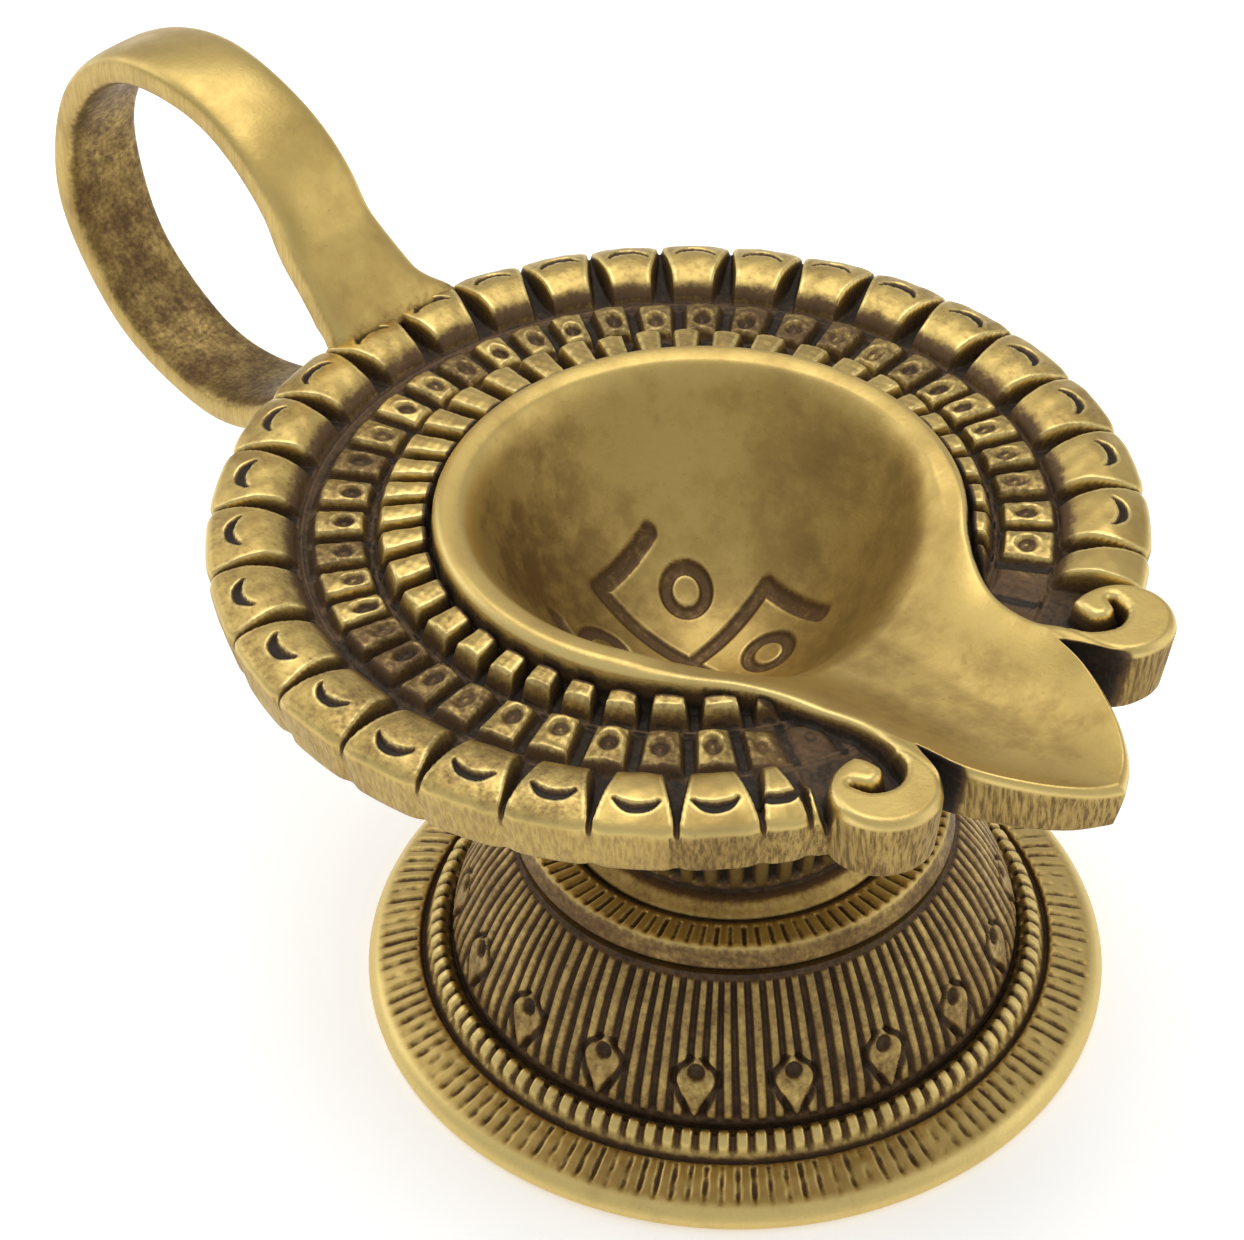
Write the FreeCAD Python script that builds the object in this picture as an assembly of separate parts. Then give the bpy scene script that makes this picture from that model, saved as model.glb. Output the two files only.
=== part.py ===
"""Cast brass hand lamp: a spouted oil pan on a bell foot, with a finger loop behind.

Millimetres. +Z is up, the spout points along +X and the loop lies on the -X side.
The origin is the centre of the foot's resting face.
"""
import FreeCAD, Part

import math
import os

V = FreeCAD.Vector
UP = V(0, 0, 1)

# ---- driving dimensions -------------------------------------------------------------------
# foot: a hollow bell turned about the origin's axis
FOOT_R = 35.0
FOOT_EDGE_Z = 1.2      # fullest height of the rim
FOOT_REST_R = 34.4     # outer and inner edges of the ring it stands on
FOOT_REST_INNER_R = 31.6
FOOT_RIM_R = 32.2      # inner edge of the plain rounded rim
FOOT_RIM_Z = 2.4
FOOT_BEAD_R = 27.9     # centre of the beaded ring
FOOT_BEAD_TUBE = 1.35
FOOT_BEAD_Z = 4.1
DOME_R = 26.6          # base of the domed part
DOME_Z = 4.9
DOME_MID_R = 24.6
DOME_MID_Z = 10.5
CROWN_R = 20.3         # top edge of the dome, under the collar
CROWN_Z = 17.6
FOOT_WALL = 3.0
HOLLOW_STEP_R = 25.4   # where the hollow turns from the rim's slope into the bell
HOLLOW_STEP_Z = 2.0
HOLLOW_MID_R = 22.0
HOLLOW_MID_Z = 9.3
HOLLOW_TOP_R = 16.7
REGISTER_R = 12.0      # raised disc that centres the collar
REGISTER_H = 0.9

# collar and calyx: the two turned pieces of the neck
COLLAR_R = 20.3
COLLAR_TOP_R = 19.7
COLLAR_TOP_Z = 20.6
COLLAR_EASE = 0.7      # broken lower edge
COLLAR_FALL = 0.3      # slope of the top towards the seat
SEAT_R = 16.3          # shallow seat for the calyx in the collar's top
SEAT_Z = 19.4
CALYX_FOOT_R = 16.0
CALYX_NECK_R = 13.9
CALYX_BEAD = 0.9       # round bead at the calyx's foot
CALYX_NECK_Z = 21.6
CALYX_FLARE_R = 15.2   # half way up the flare
CALYX_FLARE_Z = 27.6
CALYX_RIM_R = 19.4
CALYX_RIM_Z = 33.5
CALYX_RIM_ROUND = 0.8
CALYX_TOP_Z = 34.5
SOCKET_R = 9.1         # socket in the calyx for the pan's boss
SOCKET_Z = 24.0

# pan: bowl, flange, spout and scrolls in one casting
BOWL_X = -4.2          # axis of the bowl's hollow and of the lip
BOWL_R = 20.5
BOWL_CENTRE_Z = 53.8
SHELL_X = -2.0         # axis of the bowl's outer face
SHELL_R = 25.4
LIP_R = 22.2           # centre of the lip's round top
LIP_TUBE = 1.75
LIP_TOP_Z = 52.9
FLANGE_X = -7.0        # axis of the flange's outer roll
FLANGE_R = 41.3
FLANGE_BASE_Z = 44.5
FLANGE_EDGE_Z = 48.4   # top of the upright edge
FLANGE_DRAW = 1.0      # the edge leans in by this much at its base
ROLL_INNER_R = 33.2
ROLL_CREST_R = 38.0
ROLL_TOP_Z = 50.9
VALLEY_Z = 48.2
BLOCK_R = 27.6         # outer edge of the step of small blocks beside the lip
BLOCK_Z = 50.6
BLOCK_FALL = 0.6       # slope of the step's top outwards
SPOUT_TOP_Z = 51.3
NOTCH = V(29.5, 8.9, 0)      # where a scroll and the tongue part
TONGUE_MID = V(37.3, 6.0, 0)
TIP_X = 43.6
TONGUE_BACK_X = 8.0
TONGUE_BACK_Y = 15.5
HORN_WAIST = V(20.5, 10.9, 0)  # the lip's ridge between the bowl and a scroll
HORN_END = V(28.0, 12.0, 0)
SCROLL = V(31.0, 14.6, 0)    # centre of a scroll
HORN_SHOULDER = V(33.4, 10.5, 0)
SCROLL_R = 4.75
CURL_START = V(24.0, 12.9, 0)  # hooked groove that draws the curl
CURL_BEND = V(27.6, 12.6, 0)
CURL_OUTER = V(30.4, 13.6, 0)
CURL_EYE = V(29.2, 16.0, 0)
CURL_WIDTH = 1.6
CURL_DEPTH = 2.2
FRONT_X = 27.5               # the flange stops here, between and behind the scrolls
FRONT_HALF = 18.5
CHANNEL_R = 13.0             # round trough of the spout
CHANNEL_START_Z = 45.2       # its lowest line, over the bowl's axis
CHANNEL_RISE = 5.0           # degrees, climbing to the tip
GROOVES = 28                 # cuts across the flange's roll
GROOVE_PITCH = 10.75         # degrees
GROOVE_WIDTH = 1.5
GROOVE_DEPTH = 1.2
GROOVE_TILT = 5.0            # degrees, shallower towards the edge

# finger loop: a flat strap bent round
LOOP_X = -71.3
LOOP_Z = 48.8
LOOP_R = 18.2          # middle of the strap
STRAP_T = 3.4
STRAP_W = 10.4
LOOP_TOP_END = 20.0    # degrees above the loop's level line where the strap meets its upper palm
LOOP_LOW_END = -40.0   # degrees, where the reverse bend begins
PALM_REACH = 2.5       # flat length under the flange
PALM_W = 13.2          # spread upper end
PALM_LAP = 3.8         # how far it laps over the flange's edge
PALM_RISE = 2.4        # its height above the roll there
PALM_ROOT = 3.0        # how far the filler under it stands out from the edge
PALM_SPREAD = 6.0      # height over which it spreads, above the flange's base

# fixing: a stud from the pan's boss, drawn tight by a nut inside the foot
STUD_R = 2.5
STUD_HOLE_R = 2.9
STUD_LOW_Z = 7.6
STUD_TOP_Z = 30.2
WASHER_R = 6.5
WASHER_T = 1.2
NUT_FLATS = 8.0
NUT_H = 4.0
NUT_CORNER = 30.0      # degrees, half the turn between two corners
BOSS_R = 9.0
BOSS_OVERLAP = 4.0     # how far the boss runs into the bowl's wall

CROWN_UNDER_Z = CROWN_Z - FOOT_WALL
REGISTER_Z = CROWN_Z + REGISTER_H
SHOULDER_Z = LIP_TOP_Z - LIP_TUBE
CLEAR = 60.0           # larger than the lamp's half width, for cutting pieces


# ---- helpers ------------------------------------------------------------------------------
def arc(a, b, c):
    """Arc edge through three points."""
    return Part.Arc(a, b, c).toShape()


def line(a, b):
    """Straight edge."""
    return Part.makeLine(a, b)


def rz(r, z):
    """Point at radius r and height z in the turning plane."""
    return V(r, 0, z)


def turned(edges, x=0.0):
    """Solid turned about the vertical axis at x from a closed profile in the XZ plane."""
    face = Part.Face(Part.Wire(Part.__sortEdges__(edges)))
    solid = face.revolve(V(0, 0, 0), UP, 360)
    solid.translate(V(x, 0, 0))
    return solid


def polygon(points):
    """Closed loop of straight edges."""
    return [line(a, b) for a, b in zip(points, points[1:] + points[:1])]


def rod(radius, low, high, x=0.0):
    """Upright cylinder between two heights."""
    return Part.makeCylinder(radius, high - low, V(x, 0, low), UP)


def mirrored(shape):
    """The same shape on the other side of the lamp's middle plane."""
    return shape.mirror(V(0, 0, 0), V(0, 1, 0))


def flipped(point):
    """The same point on the other side of the lamp's middle plane."""
    return V(point.x, -point.y, point.z)


# ---- foot ---------------------------------------------------------------------------------
def foot():
    """Bell: plain rim, sloping milled ring, beaded ring, domed side and flat crown."""
    rim = [rz(FOOT_REST_R, 0), rz(FOOT_R, FOOT_EDGE_Z), rz(FOOT_RIM_R, FOOT_RIM_Z)]
    bead_out = rz(FOOT_BEAD_R + FOOT_BEAD_TUBE, FOOT_BEAD_Z - FOOT_BEAD_TUBE / 2)
    bead_top = rz(FOOT_BEAD_R, FOOT_BEAD_Z + FOOT_BEAD_TUBE)
    dome_base = rz(DOME_R, DOME_Z)
    dome_mid = rz(DOME_MID_R, DOME_MID_Z)
    crown = rz(CROWN_R, CROWN_Z)
    hollow_rim = rz(FOOT_REST_INNER_R, 0)
    hollow_step = rz(HOLLOW_STEP_R, HOLLOW_STEP_Z)
    hollow_mid = rz(HOLLOW_MID_R, HOLLOW_MID_Z)
    hollow_top = rz(HOLLOW_TOP_R, CROWN_UNDER_Z)
    edges = [
        arc(*rim),
        line(rim[2], bead_out),
        arc(bead_out, bead_top, dome_base),
        arc(dome_base, dome_mid, crown),
        line(crown, rz(REGISTER_R, CROWN_Z)),
        line(rz(REGISTER_R, CROWN_Z), rz(REGISTER_R, REGISTER_Z)),
        line(rz(REGISTER_R, REGISTER_Z), rz(STUD_HOLE_R, REGISTER_Z)),
        line(rz(STUD_HOLE_R, REGISTER_Z), rz(STUD_HOLE_R, CROWN_UNDER_Z)),
        line(rz(STUD_HOLE_R, CROWN_UNDER_Z), hollow_top),
        arc(hollow_top, hollow_mid, hollow_step),
        line(hollow_step, hollow_rim),
        line(hollow_rim, rim[0]),
    ]
    return turned(edges)


# ---- neck ---------------------------------------------------------------------------------
def collar():
    """Plain-sided ring with a shallow seat above and a recess below for the foot's register."""
    profile = [
        rz(COLLAR_R - COLLAR_EASE, CROWN_Z),
        rz(COLLAR_R, CROWN_Z + COLLAR_EASE),
        rz(COLLAR_TOP_R, COLLAR_TOP_Z),
        rz(SEAT_R, COLLAR_TOP_Z - COLLAR_FALL),
        rz(SEAT_R, SEAT_Z),
        rz(STUD_HOLE_R, SEAT_Z),
        rz(STUD_HOLE_R, REGISTER_Z),
        rz(REGISTER_R, REGISTER_Z),
        rz(REGISTER_R, CROWN_Z),
    ]
    return turned(polygon(profile))


def bowl_shell():
    """Ball that gives the outer face of the bowl."""
    return Part.makeSphere(SHELL_R, V(SHELL_X, 0, BOWL_CENTRE_Z))


def calyx():
    """Flared cup under the bowl: round bead at its foot, hollowed to the bowl's outer face."""
    seat_out = rz(CALYX_FOOT_R, SEAT_Z)
    bead_low = rz(CALYX_FOOT_R, COLLAR_TOP_Z - CALYX_BEAD / 2)
    bead_top = rz(CALYX_FOOT_R - CALYX_BEAD, COLLAR_TOP_Z + CALYX_BEAD / 2)
    bead_in = rz(CALYX_NECK_R, COLLAR_TOP_Z)
    neck = rz(CALYX_NECK_R, CALYX_NECK_Z)
    rim = rz(CALYX_RIM_R, CALYX_RIM_Z)
    rim_top = rz(CALYX_RIM_R - CALYX_RIM_ROUND, CALYX_TOP_Z)
    edges = [
        line(rz(STUD_HOLE_R, SEAT_Z), seat_out),
        line(seat_out, bead_low),
        arc(bead_low, bead_top, bead_in),
        line(bead_in, neck),
        arc(neck, rz(CALYX_FLARE_R, CALYX_FLARE_Z), rim),
        line(rim, rim_top),
        line(rim_top, rz(SOCKET_R, CALYX_TOP_Z)),
        line(rz(SOCKET_R, CALYX_TOP_Z), rz(SOCKET_R, SOCKET_Z)),
        line(rz(SOCKET_R, SOCKET_Z), rz(STUD_HOLE_R, SOCKET_Z)),
        line(rz(STUD_HOLE_R, SOCKET_Z), rz(STUD_HOLE_R, SEAT_Z)),
    ]
    return turned(edges).cut(bowl_shell())


# ---- pan ----------------------------------------------------------------------------------
def flange():
    """Dished ring with a raised outer roll, its edge drawn in slightly towards the base."""
    base_edge = rz(FLANGE_R - FLANGE_DRAW, FLANGE_BASE_Z)
    top_edge = rz(FLANGE_R, FLANGE_EDGE_Z)
    edges = [
        line(rz(0, FLANGE_BASE_Z), base_edge),
        line(base_edge, top_edge),
        arc(top_edge, rz(ROLL_CREST_R, ROLL_TOP_Z), rz(ROLL_INNER_R, VALLEY_Z)),
        line(rz(ROLL_INNER_R, VALLEY_Z), rz(0, VALLEY_Z)),
        line(rz(0, VALLEY_Z), rz(0, FLANGE_BASE_Z)),
    ]
    return turned(edges, FLANGE_X)


def lip():
    """Round lip of the bowl and the low step of blocks beside it, about the bowl's axis."""
    root = BOWL_R - LIP_TUBE
    outer = LIP_R + LIP_TUBE
    inner = LIP_R - LIP_TUBE
    edges = [
        line(rz(root, FLANGE_BASE_Z), rz(BLOCK_R, FLANGE_BASE_Z)),
        line(rz(BLOCK_R, FLANGE_BASE_Z), rz(BLOCK_R, BLOCK_Z - BLOCK_FALL)),
        line(rz(BLOCK_R, BLOCK_Z - BLOCK_FALL), rz(outer, BLOCK_Z)),
        line(rz(outer, BLOCK_Z), rz(outer, SHOULDER_Z)),
        arc(rz(outer, SHOULDER_Z), rz(LIP_R, LIP_TOP_Z), rz(inner, SHOULDER_Z)),
        line(rz(inner, SHOULDER_Z), rz(root, SHOULDER_Z - LIP_TUBE)),
        line(rz(root, SHOULDER_Z - LIP_TUBE), rz(root, FLANGE_BASE_Z)),
    ]
    return turned(edges, BOWL_X)


def slab(edges):
    """Upright prism on a closed outline, from the flange's base to the top of the spout."""
    prism = Part.Face(Part.Wire(edges)).extrude(V(0, 0, SPOUT_TOP_Z - FLANGE_BASE_Z))
    prism.translate(V(0, 0, FLANGE_BASE_Z))
    return prism


def tongue():
    """Pointed spout, its two sides arcs that meet at the tip."""
    tip = V(TIP_X, 0, 0)
    back = V(TONGUE_BACK_X, NOTCH.y, 0)
    edges = [
        line(flipped(back), flipped(NOTCH)),
        arc(flipped(NOTCH), flipped(TONGUE_MID), tip),
        arc(tip, TONGUE_MID, NOTCH),
        line(NOTCH, back),
        line(back, flipped(back)),
    ]
    return slab(edges)


def horn():
    """Ridge that carries the lip outwards to a scroll, drawn in at its waist."""
    root = V(TONGUE_BACK_X, TONGUE_BACK_Y, 0)
    inner = V(TONGUE_BACK_X, NOTCH.y - 1.0, 0)
    edges = [
        arc(root, HORN_WAIST, HORN_END),
        line(HORN_END, HORN_SHOULDER),
        line(HORN_SHOULDER, NOTCH),
        line(NOTCH, inner),
        line(inner, root),
    ]
    return slab(edges)


def scroll():
    """Round boss at the end of a horn."""
    foot_point = SCROLL + V(0, 0, FLANGE_BASE_Z)
    return Part.makeCylinder(SCROLL_R, SPOUT_TOP_Z - FLANGE_BASE_Z, foot_point, UP)


def curl():
    """Hooked groove that runs round between horn and boss and ends at the scroll's eye."""
    base = V(0, 0, SPOUT_TOP_Z - CURL_DEPTH)
    bend = CURL_BEND + base
    hook = arc(bend, CURL_OUTER + base, CURL_EYE + base)
    path = Part.Wire([line(CURL_START + base, bend), hook])
    outline = path.makeOffset2D(CURL_WIDTH / 2, 0, False, False, False)
    return Part.Face(outline).extrude(V(0, 0, CURL_DEPTH + 1))


def spout_front():
    """Space in front of the pan, cut from the flange before the tongue and scrolls are added."""
    corner = V(FRONT_X, -FRONT_HALF, 0)
    return Part.makeBox(CLEAR, 2 * FRONT_HALF, CLEAR, corner)


def lip_mouth():
    """Opening in the front of the lip, where the bowl runs out into the spout."""
    back = TONGUE_BACK_X + 5.5
    half = NOTCH.y + 1.0
    return Part.makeBox(CLEAR, 2 * half, CLEAR, V(back, -half, 0))


def channel():
    """Round trough from the bowl to the tip, climbing gently outwards."""
    start = V(BOWL_X, 0, CHANNEL_START_Z + CHANNEL_R)
    slope = math.radians(CHANNEL_RISE)
    return Part.makeCylinder(CHANNEL_R, CLEAR, start, V(math.cos(slope), 0, math.sin(slope)))


def roll_grooves():
    """Narrow blades that cut the flange's roll into knuckles, set evenly about the rear."""
    blades = []
    length = FLANGE_R - ROLL_INNER_R + GROOVE_WIDTH
    corner = V(ROLL_INNER_R, -GROOVE_WIDTH / 2, 0)
    for i in range(GROOVES):
        angle = 180.0 + (i - (GROOVES - 1) / 2) * GROOVE_PITCH
        blade = Part.makeBox(length, GROOVE_WIDTH, 2 * GROOVE_DEPTH, corner)
        blade.rotate(V(ROLL_INNER_R, 0, 0), V(0, 1, 0), GROOVE_TILT)
        blade.translate(V(0, 0, ROLL_TOP_Z - GROOVE_DEPTH))
        blade.rotate(V(0, 0, 0), UP, angle)
        blade.translate(V(FLANGE_X, 0, 0))
        blades.append(blade)
    return Part.makeCompound(blades)


def boss():
    """Round boss under the bowl, with the blind hole for the stud."""
    return rod(BOSS_R, SOCKET_Z, BOWL_CENTRE_Z - SHELL_R + BOSS_OVERLAP)


def pan():
    """Bowl, flange, lip, spout, scrolls and boss in one casting."""
    shell = bowl_shell().common(rod(CLEAR, 0, VALLEY_Z))
    ring = flange().cut(roll_grooves()).cut(spout_front())
    mouth_lip = lip().cut(lip_mouth())
    body = ring.fuse([mouth_lip, shell, tongue(), boss()])
    body = body.fuse([horn(), mirrored(horn()), scroll(), mirrored(scroll())])
    hollow = Part.makeSphere(BOWL_R, V(BOWL_X, 0, BOWL_CENTRE_Z))
    stud_hole = rod(STUD_R, CROWN_Z, STUD_TOP_Z)
    body = body.cut([hollow, channel(), curl(), mirrored(curl()), stud_hole])
    return body.removeSplitter()


# ---- finger loop --------------------------------------------------------------------------
def on_loop(radius, degrees):
    """Point of the strap's ring in the XZ plane, counted upwards from the +X direction."""
    a = math.radians(degrees)
    return V(LOOP_X + radius * math.cos(a), -STRAP_W / 2, LOOP_Z + radius * math.sin(a))


def strap():
    """Bent strap: three quarters of a ring, then a reverse bend that lies flat under the flange."""
    outer = LOOP_R + STRAP_T / 2
    inner = LOOP_R - STRAP_T / 2
    turn = math.radians(90 + LOOP_LOW_END)
    foot_z = FLANGE_BASE_Z - STRAP_T / 2
    start = on_loop(LOOP_R, LOOP_LOW_END)
    bend_r = (foot_z - start.z) / (1 - math.cos(turn))
    centre = V(start.x + bend_r * math.sin(turn), -STRAP_W / 2, foot_z - bend_r)

    def on_bend(radius, part):
        a = turn * part
        return V(centre.x - radius * math.sin(a), centre.y, centre.z + radius * math.cos(a))

    # the ring's outer face is the underside of the reverse bend
    top = bend_r + STRAP_T / 2
    under = bend_r - STRAP_T / 2
    reach = V(PALM_REACH, 0, 0)
    low = 360 + LOOP_LOW_END
    back = (LOOP_TOP_END + low) / 2
    edges = [
        line(on_loop(inner, LOOP_TOP_END), on_loop(outer, LOOP_TOP_END)),
        arc(on_loop(outer, LOOP_TOP_END), on_loop(outer, back), on_loop(outer, low)),
        arc(on_loop(inner, LOOP_TOP_END), on_loop(inner, back), on_loop(inner, low)),
        arc(on_bend(under, 1), on_bend(under, 0.5), on_bend(under, 0)),
        arc(on_bend(top, 1), on_bend(top, 0.5), on_bend(top, 0)),
        line(on_bend(under, 0), on_bend(under, 0) + reach),
        line(on_bend(top, 0), on_bend(top, 0) + reach),
        line(on_bend(under, 0) + reach, on_bend(top, 0) + reach),
    ]
    face = Part.Face(Part.Wire(Part.__sortEdges__(edges)))
    return face.extrude(V(0, STRAP_W, 0))


def upper_palm():
    """Spread end of the strap, brazed over the edge of the flange's roll."""
    edge_x = FLANGE_X - FLANGE_R
    end_x = edge_x + PALM_LAP
    start_y = -PALM_W / 2
    lift = V(0, start_y + STRAP_W / 2, 0)
    low = FLANGE_BASE_Z + 1.0
    side = polygon([
        on_loop(LOOP_R - STRAP_T / 2, LOOP_TOP_END) + lift,
        on_loop(LOOP_R + STRAP_T / 2, LOOP_TOP_END) + lift,
        V(edge_x - 0.8, start_y, ROLL_TOP_Z + PALM_RISE),
        V(end_x - PALM_RISE / 2, start_y, ROLL_TOP_Z + PALM_RISE / 2),
        V(end_x, start_y, ROLL_TOP_Z - 0.6),
        V(end_x, start_y, low),
        V(edge_x - 0.6, start_y, low),
        V(edge_x - PALM_ROOT, start_y, ROLL_TOP_Z - 1.2),
    ])
    wide = Part.Face(Part.Wire(side)).extrude(V(0, PALM_W, 0))
    high = LOOP_Z + LOOP_R
    spread_z = FLANGE_BASE_Z + PALM_SPREAD
    narrow_z = spread_z + PALM_SPREAD
    outline = [
        V(LOOP_X, -STRAP_W / 2, high),
        V(LOOP_X, STRAP_W / 2, high),
        V(LOOP_X, STRAP_W / 2, narrow_z),
        V(LOOP_X, PALM_W / 2, spread_z),
        V(LOOP_X, PALM_W / 2, 0),
        V(LOOP_X, -PALM_W / 2, 0),
        V(LOOP_X, -PALM_W / 2, spread_z),
        V(LOOP_X, -STRAP_W / 2, narrow_z),
    ]
    spread = Part.Face(Part.Wire(polygon(outline))).extrude(V(CLEAR, 0, 0))
    return wide.common(spread).cut(flange())


def handle_loop():
    """Finger loop: bent strap and its spread upper end in one piece."""
    return strap().fuse(upper_palm()).removeSplitter()


# ---- fixing -------------------------------------------------------------------------------
def tie_stud():
    """Plain-shanked stud with both ends chamfered."""
    chamfer = 0.5
    profile = [
        rz(0, STUD_LOW_Z),
        rz(STUD_R - chamfer, STUD_LOW_Z),
        rz(STUD_R, STUD_LOW_Z + chamfer),
        rz(STUD_R, STUD_TOP_Z - chamfer),
        rz(STUD_R - chamfer, STUD_TOP_Z),
        rz(0, STUD_TOP_Z),
    ]
    return turned(polygon(profile))


def foot_washer():
    """Flat washer under the crown of the foot."""
    disc = rod(WASHER_R, CROWN_UNDER_Z - WASHER_T, CROWN_UNDER_Z)
    return disc.cut(rod(STUD_HOLE_R, 0, CROWN_UNDER_Z))


def foot_nut():
    """Hexagon nut with its corners turned down at both ends."""
    top = CROWN_UNDER_Z - WASHER_T
    low = top - NUT_H
    corner = NUT_FLATS / 2 / math.cos(math.radians(NUT_CORNER))
    turns = [math.radians(2 * NUT_CORNER * i) for i in range(6)]
    ring = [V(corner * math.cos(turn), corner * math.sin(turn), low) for turn in turns]
    hexagon = Part.Face(Part.Wire(polygon(ring))).extrude(V(0, 0, NUT_H))
    drop = corner - NUT_FLATS / 2
    turned_down = turned(polygon([
        rz(0, low),
        rz(NUT_FLATS / 2, low),
        rz(corner, low + drop),
        rz(corner, top - drop),
        rz(NUT_FLATS / 2, top),
        rz(0, top),
    ]))
    return hexagon.common(turned_down).cut(rod(STUD_R, low, top))


def main():
    """Write one STEP file per piece."""
    os.makedirs("parts", exist_ok=True)
    pieces = {
        "pan": pan(),
        "handle_loop": handle_loop(),
        "calyx": calyx(),
        "neck_collar": collar(),
        "foot": foot(),
        "tie_stud": tie_stud(),
        "foot_washer": foot_washer(),
        "foot_nut": foot_nut(),
    }
    for name, shape in pieces.items():
        print(name, shape.isValid(), len(shape.Solids), round(shape.Volume, 1))
        shape.exportStep("parts/" + name + ".step")


main()
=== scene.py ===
"""Cast brass hand lamp on a bell foot, dressed round the fixed CAD frame.

Shapes are worked out in millimetres and turned into metres when a mesh is made.
+Z is up, the spout points along +X and the finger loop lies on the -X side.
"""
import math

import bpy
import numpy as np
from mathutils import Matrix, Vector


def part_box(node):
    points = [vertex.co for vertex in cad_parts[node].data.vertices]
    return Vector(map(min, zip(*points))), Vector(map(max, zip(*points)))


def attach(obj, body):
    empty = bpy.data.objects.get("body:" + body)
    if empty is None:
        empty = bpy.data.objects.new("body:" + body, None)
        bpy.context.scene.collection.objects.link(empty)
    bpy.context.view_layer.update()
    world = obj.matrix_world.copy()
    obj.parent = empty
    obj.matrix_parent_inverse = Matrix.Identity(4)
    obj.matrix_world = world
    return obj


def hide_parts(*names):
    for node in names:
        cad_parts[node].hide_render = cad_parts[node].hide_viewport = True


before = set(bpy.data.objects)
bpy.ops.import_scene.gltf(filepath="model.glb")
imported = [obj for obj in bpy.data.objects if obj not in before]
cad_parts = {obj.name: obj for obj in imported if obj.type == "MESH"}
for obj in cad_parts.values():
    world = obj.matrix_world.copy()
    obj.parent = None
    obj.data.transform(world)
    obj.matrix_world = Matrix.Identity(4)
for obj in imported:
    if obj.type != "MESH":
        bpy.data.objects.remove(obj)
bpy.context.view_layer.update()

MM = 0.001

# ---- sizes read from the frame, in millimetres ---------------------------------------------
def box_mm(node):
    """Low and high corner of a CAD node's box."""
    return tuple(np.array(corner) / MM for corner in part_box(node))


pan_low, pan_high = box_mm("pan")
foot_high = box_mm("foot")[1]
collar_low, collar_high = box_mm("neck_collar")
calyx_low, calyx_high = box_mm("calyx")

FLANGE_R = pan_high[1]
FLANGE_X = pan_low[0] + FLANGE_R
TIP_X = pan_high[0]
LIP_TOP = pan_high[2]
FOOT_R = foot_high[0]
REGISTER_TOP = foot_high[2]
CROWN_UNDER = box_mm("foot_washer")[1][2]
COLLAR_R = collar_high[0]
COLLAR_LOW = collar_low[2]
COLLAR_TOP = collar_high[2]
CALYX_RIM_R = calyx_high[0]
CALYX_LOW = calyx_low[2]
CALYX_TOP = calyx_high[2]

# ---- sizes of the pan ----------------------------------------------------------------------
# bowl: the hollow's axis and mouth, the ball outside it, and the lip ring
BOWL_X = -4.2
BOWL_R = 20.5
BOWL_CENTRE_Z = 53.8
BOWL_FLOOR = BOWL_CENTRE_Z - BOWL_R
FLOOR_R = 17.0
SHELL_X = -2.0
SHELL_R = 25.4
LIP_R = 22.2
LIP_ROUND = 1.1
LIP_OUTER_R = 23.3
LIP_GRID_R = LIP_OUTER_R + 0.15
# flange: its underside, the ground between the chased rings, and the knuckled roll
EDGE_LOW = 44.5
EDGE_IN = 1.3
ARRIS = 0.7
VALLEY = 48.2
ROLL_FOOT_R = 33.3
ROLL_CREST_R = 37.4
ROLL_CREST = 50.9
ROLL_EDGE = 49.6
ROLL_END = math.radians(28.8)
# chased rings: their axis, and each ring's count, first turn in degrees and radii
CHASE_X = -6.2
CHASING_OUT = 33.2
BLOCK_COUNT = 42
BLOCK_PHASE = -106.7
BLOCK_TOP = 51.0
BLOCK_OUT = 27.3
BEAD_COUNT = 46
BEAD_PHASE = -104.0
BEAD_R = 29.8
# front: the scrolls, the notch beside the tongue, and half the turn of the spout's grid
SCROLL_X = 31.0
SCROLL_Y = 14.6
SCROLL_R = 4.6
SCROLL_TOP = 51.3
NOTCH_TURN = 0.244
NOTCH_WIDE = 0.016
NOTCH_X = 29.6
NOTCH_Y = 9.1
SECTOR = math.radians(46.0)

# ---- sizes of the stem ---------------------------------------------------------------------
STUD_HOLE_R = 2.9
BOSS_R = 9.0
BOSS_END = 24.1
BOSS_SOCKET_R = 9.1
CALYX_FLOOR = 24.0
CALYX_FOOT_R = 16.0
SEAT_R = 16.3
TICKS_OUT_R = 19.4
REGISTER_R = 12.0
DOME_TOP_R = 20.3
DOME_FOOT_R = 26.55
DOME_FOOT_Z = 5.0
CROWN_R = 16.7
BELL_R = 25.4
BELL_LOW = 2.0
REST_IN_R = 31.6
REST_OUT_R = FOOT_R - 1.1

rng = np.random.default_rng(11)


# ---- small tools for surfaces --------------------------------------------------------------
def smooth(x, low, high):
    """S-shaped step from 0 at low to 1 at high: 3 t^2 - 2 t^3 of the clipped fraction."""
    t = np.clip((x - low) / (high - low), 0.0, 1.0)
    return t * t * (3.0 - 2.0 * t)


def soft_min(a, b, k):
    """Smaller of two heights with the corner between them rounded over a difference k."""
    h = np.clip(0.5 + 0.5 * (b - a) / k, 0.0, 1.0)
    return b + (a - b) * h - k * h * (1.0 - h)


def soft_max(a, b, k):
    """Larger of two heights with the corner between them rounded."""
    return -soft_min(-a, -b, k)


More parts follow.
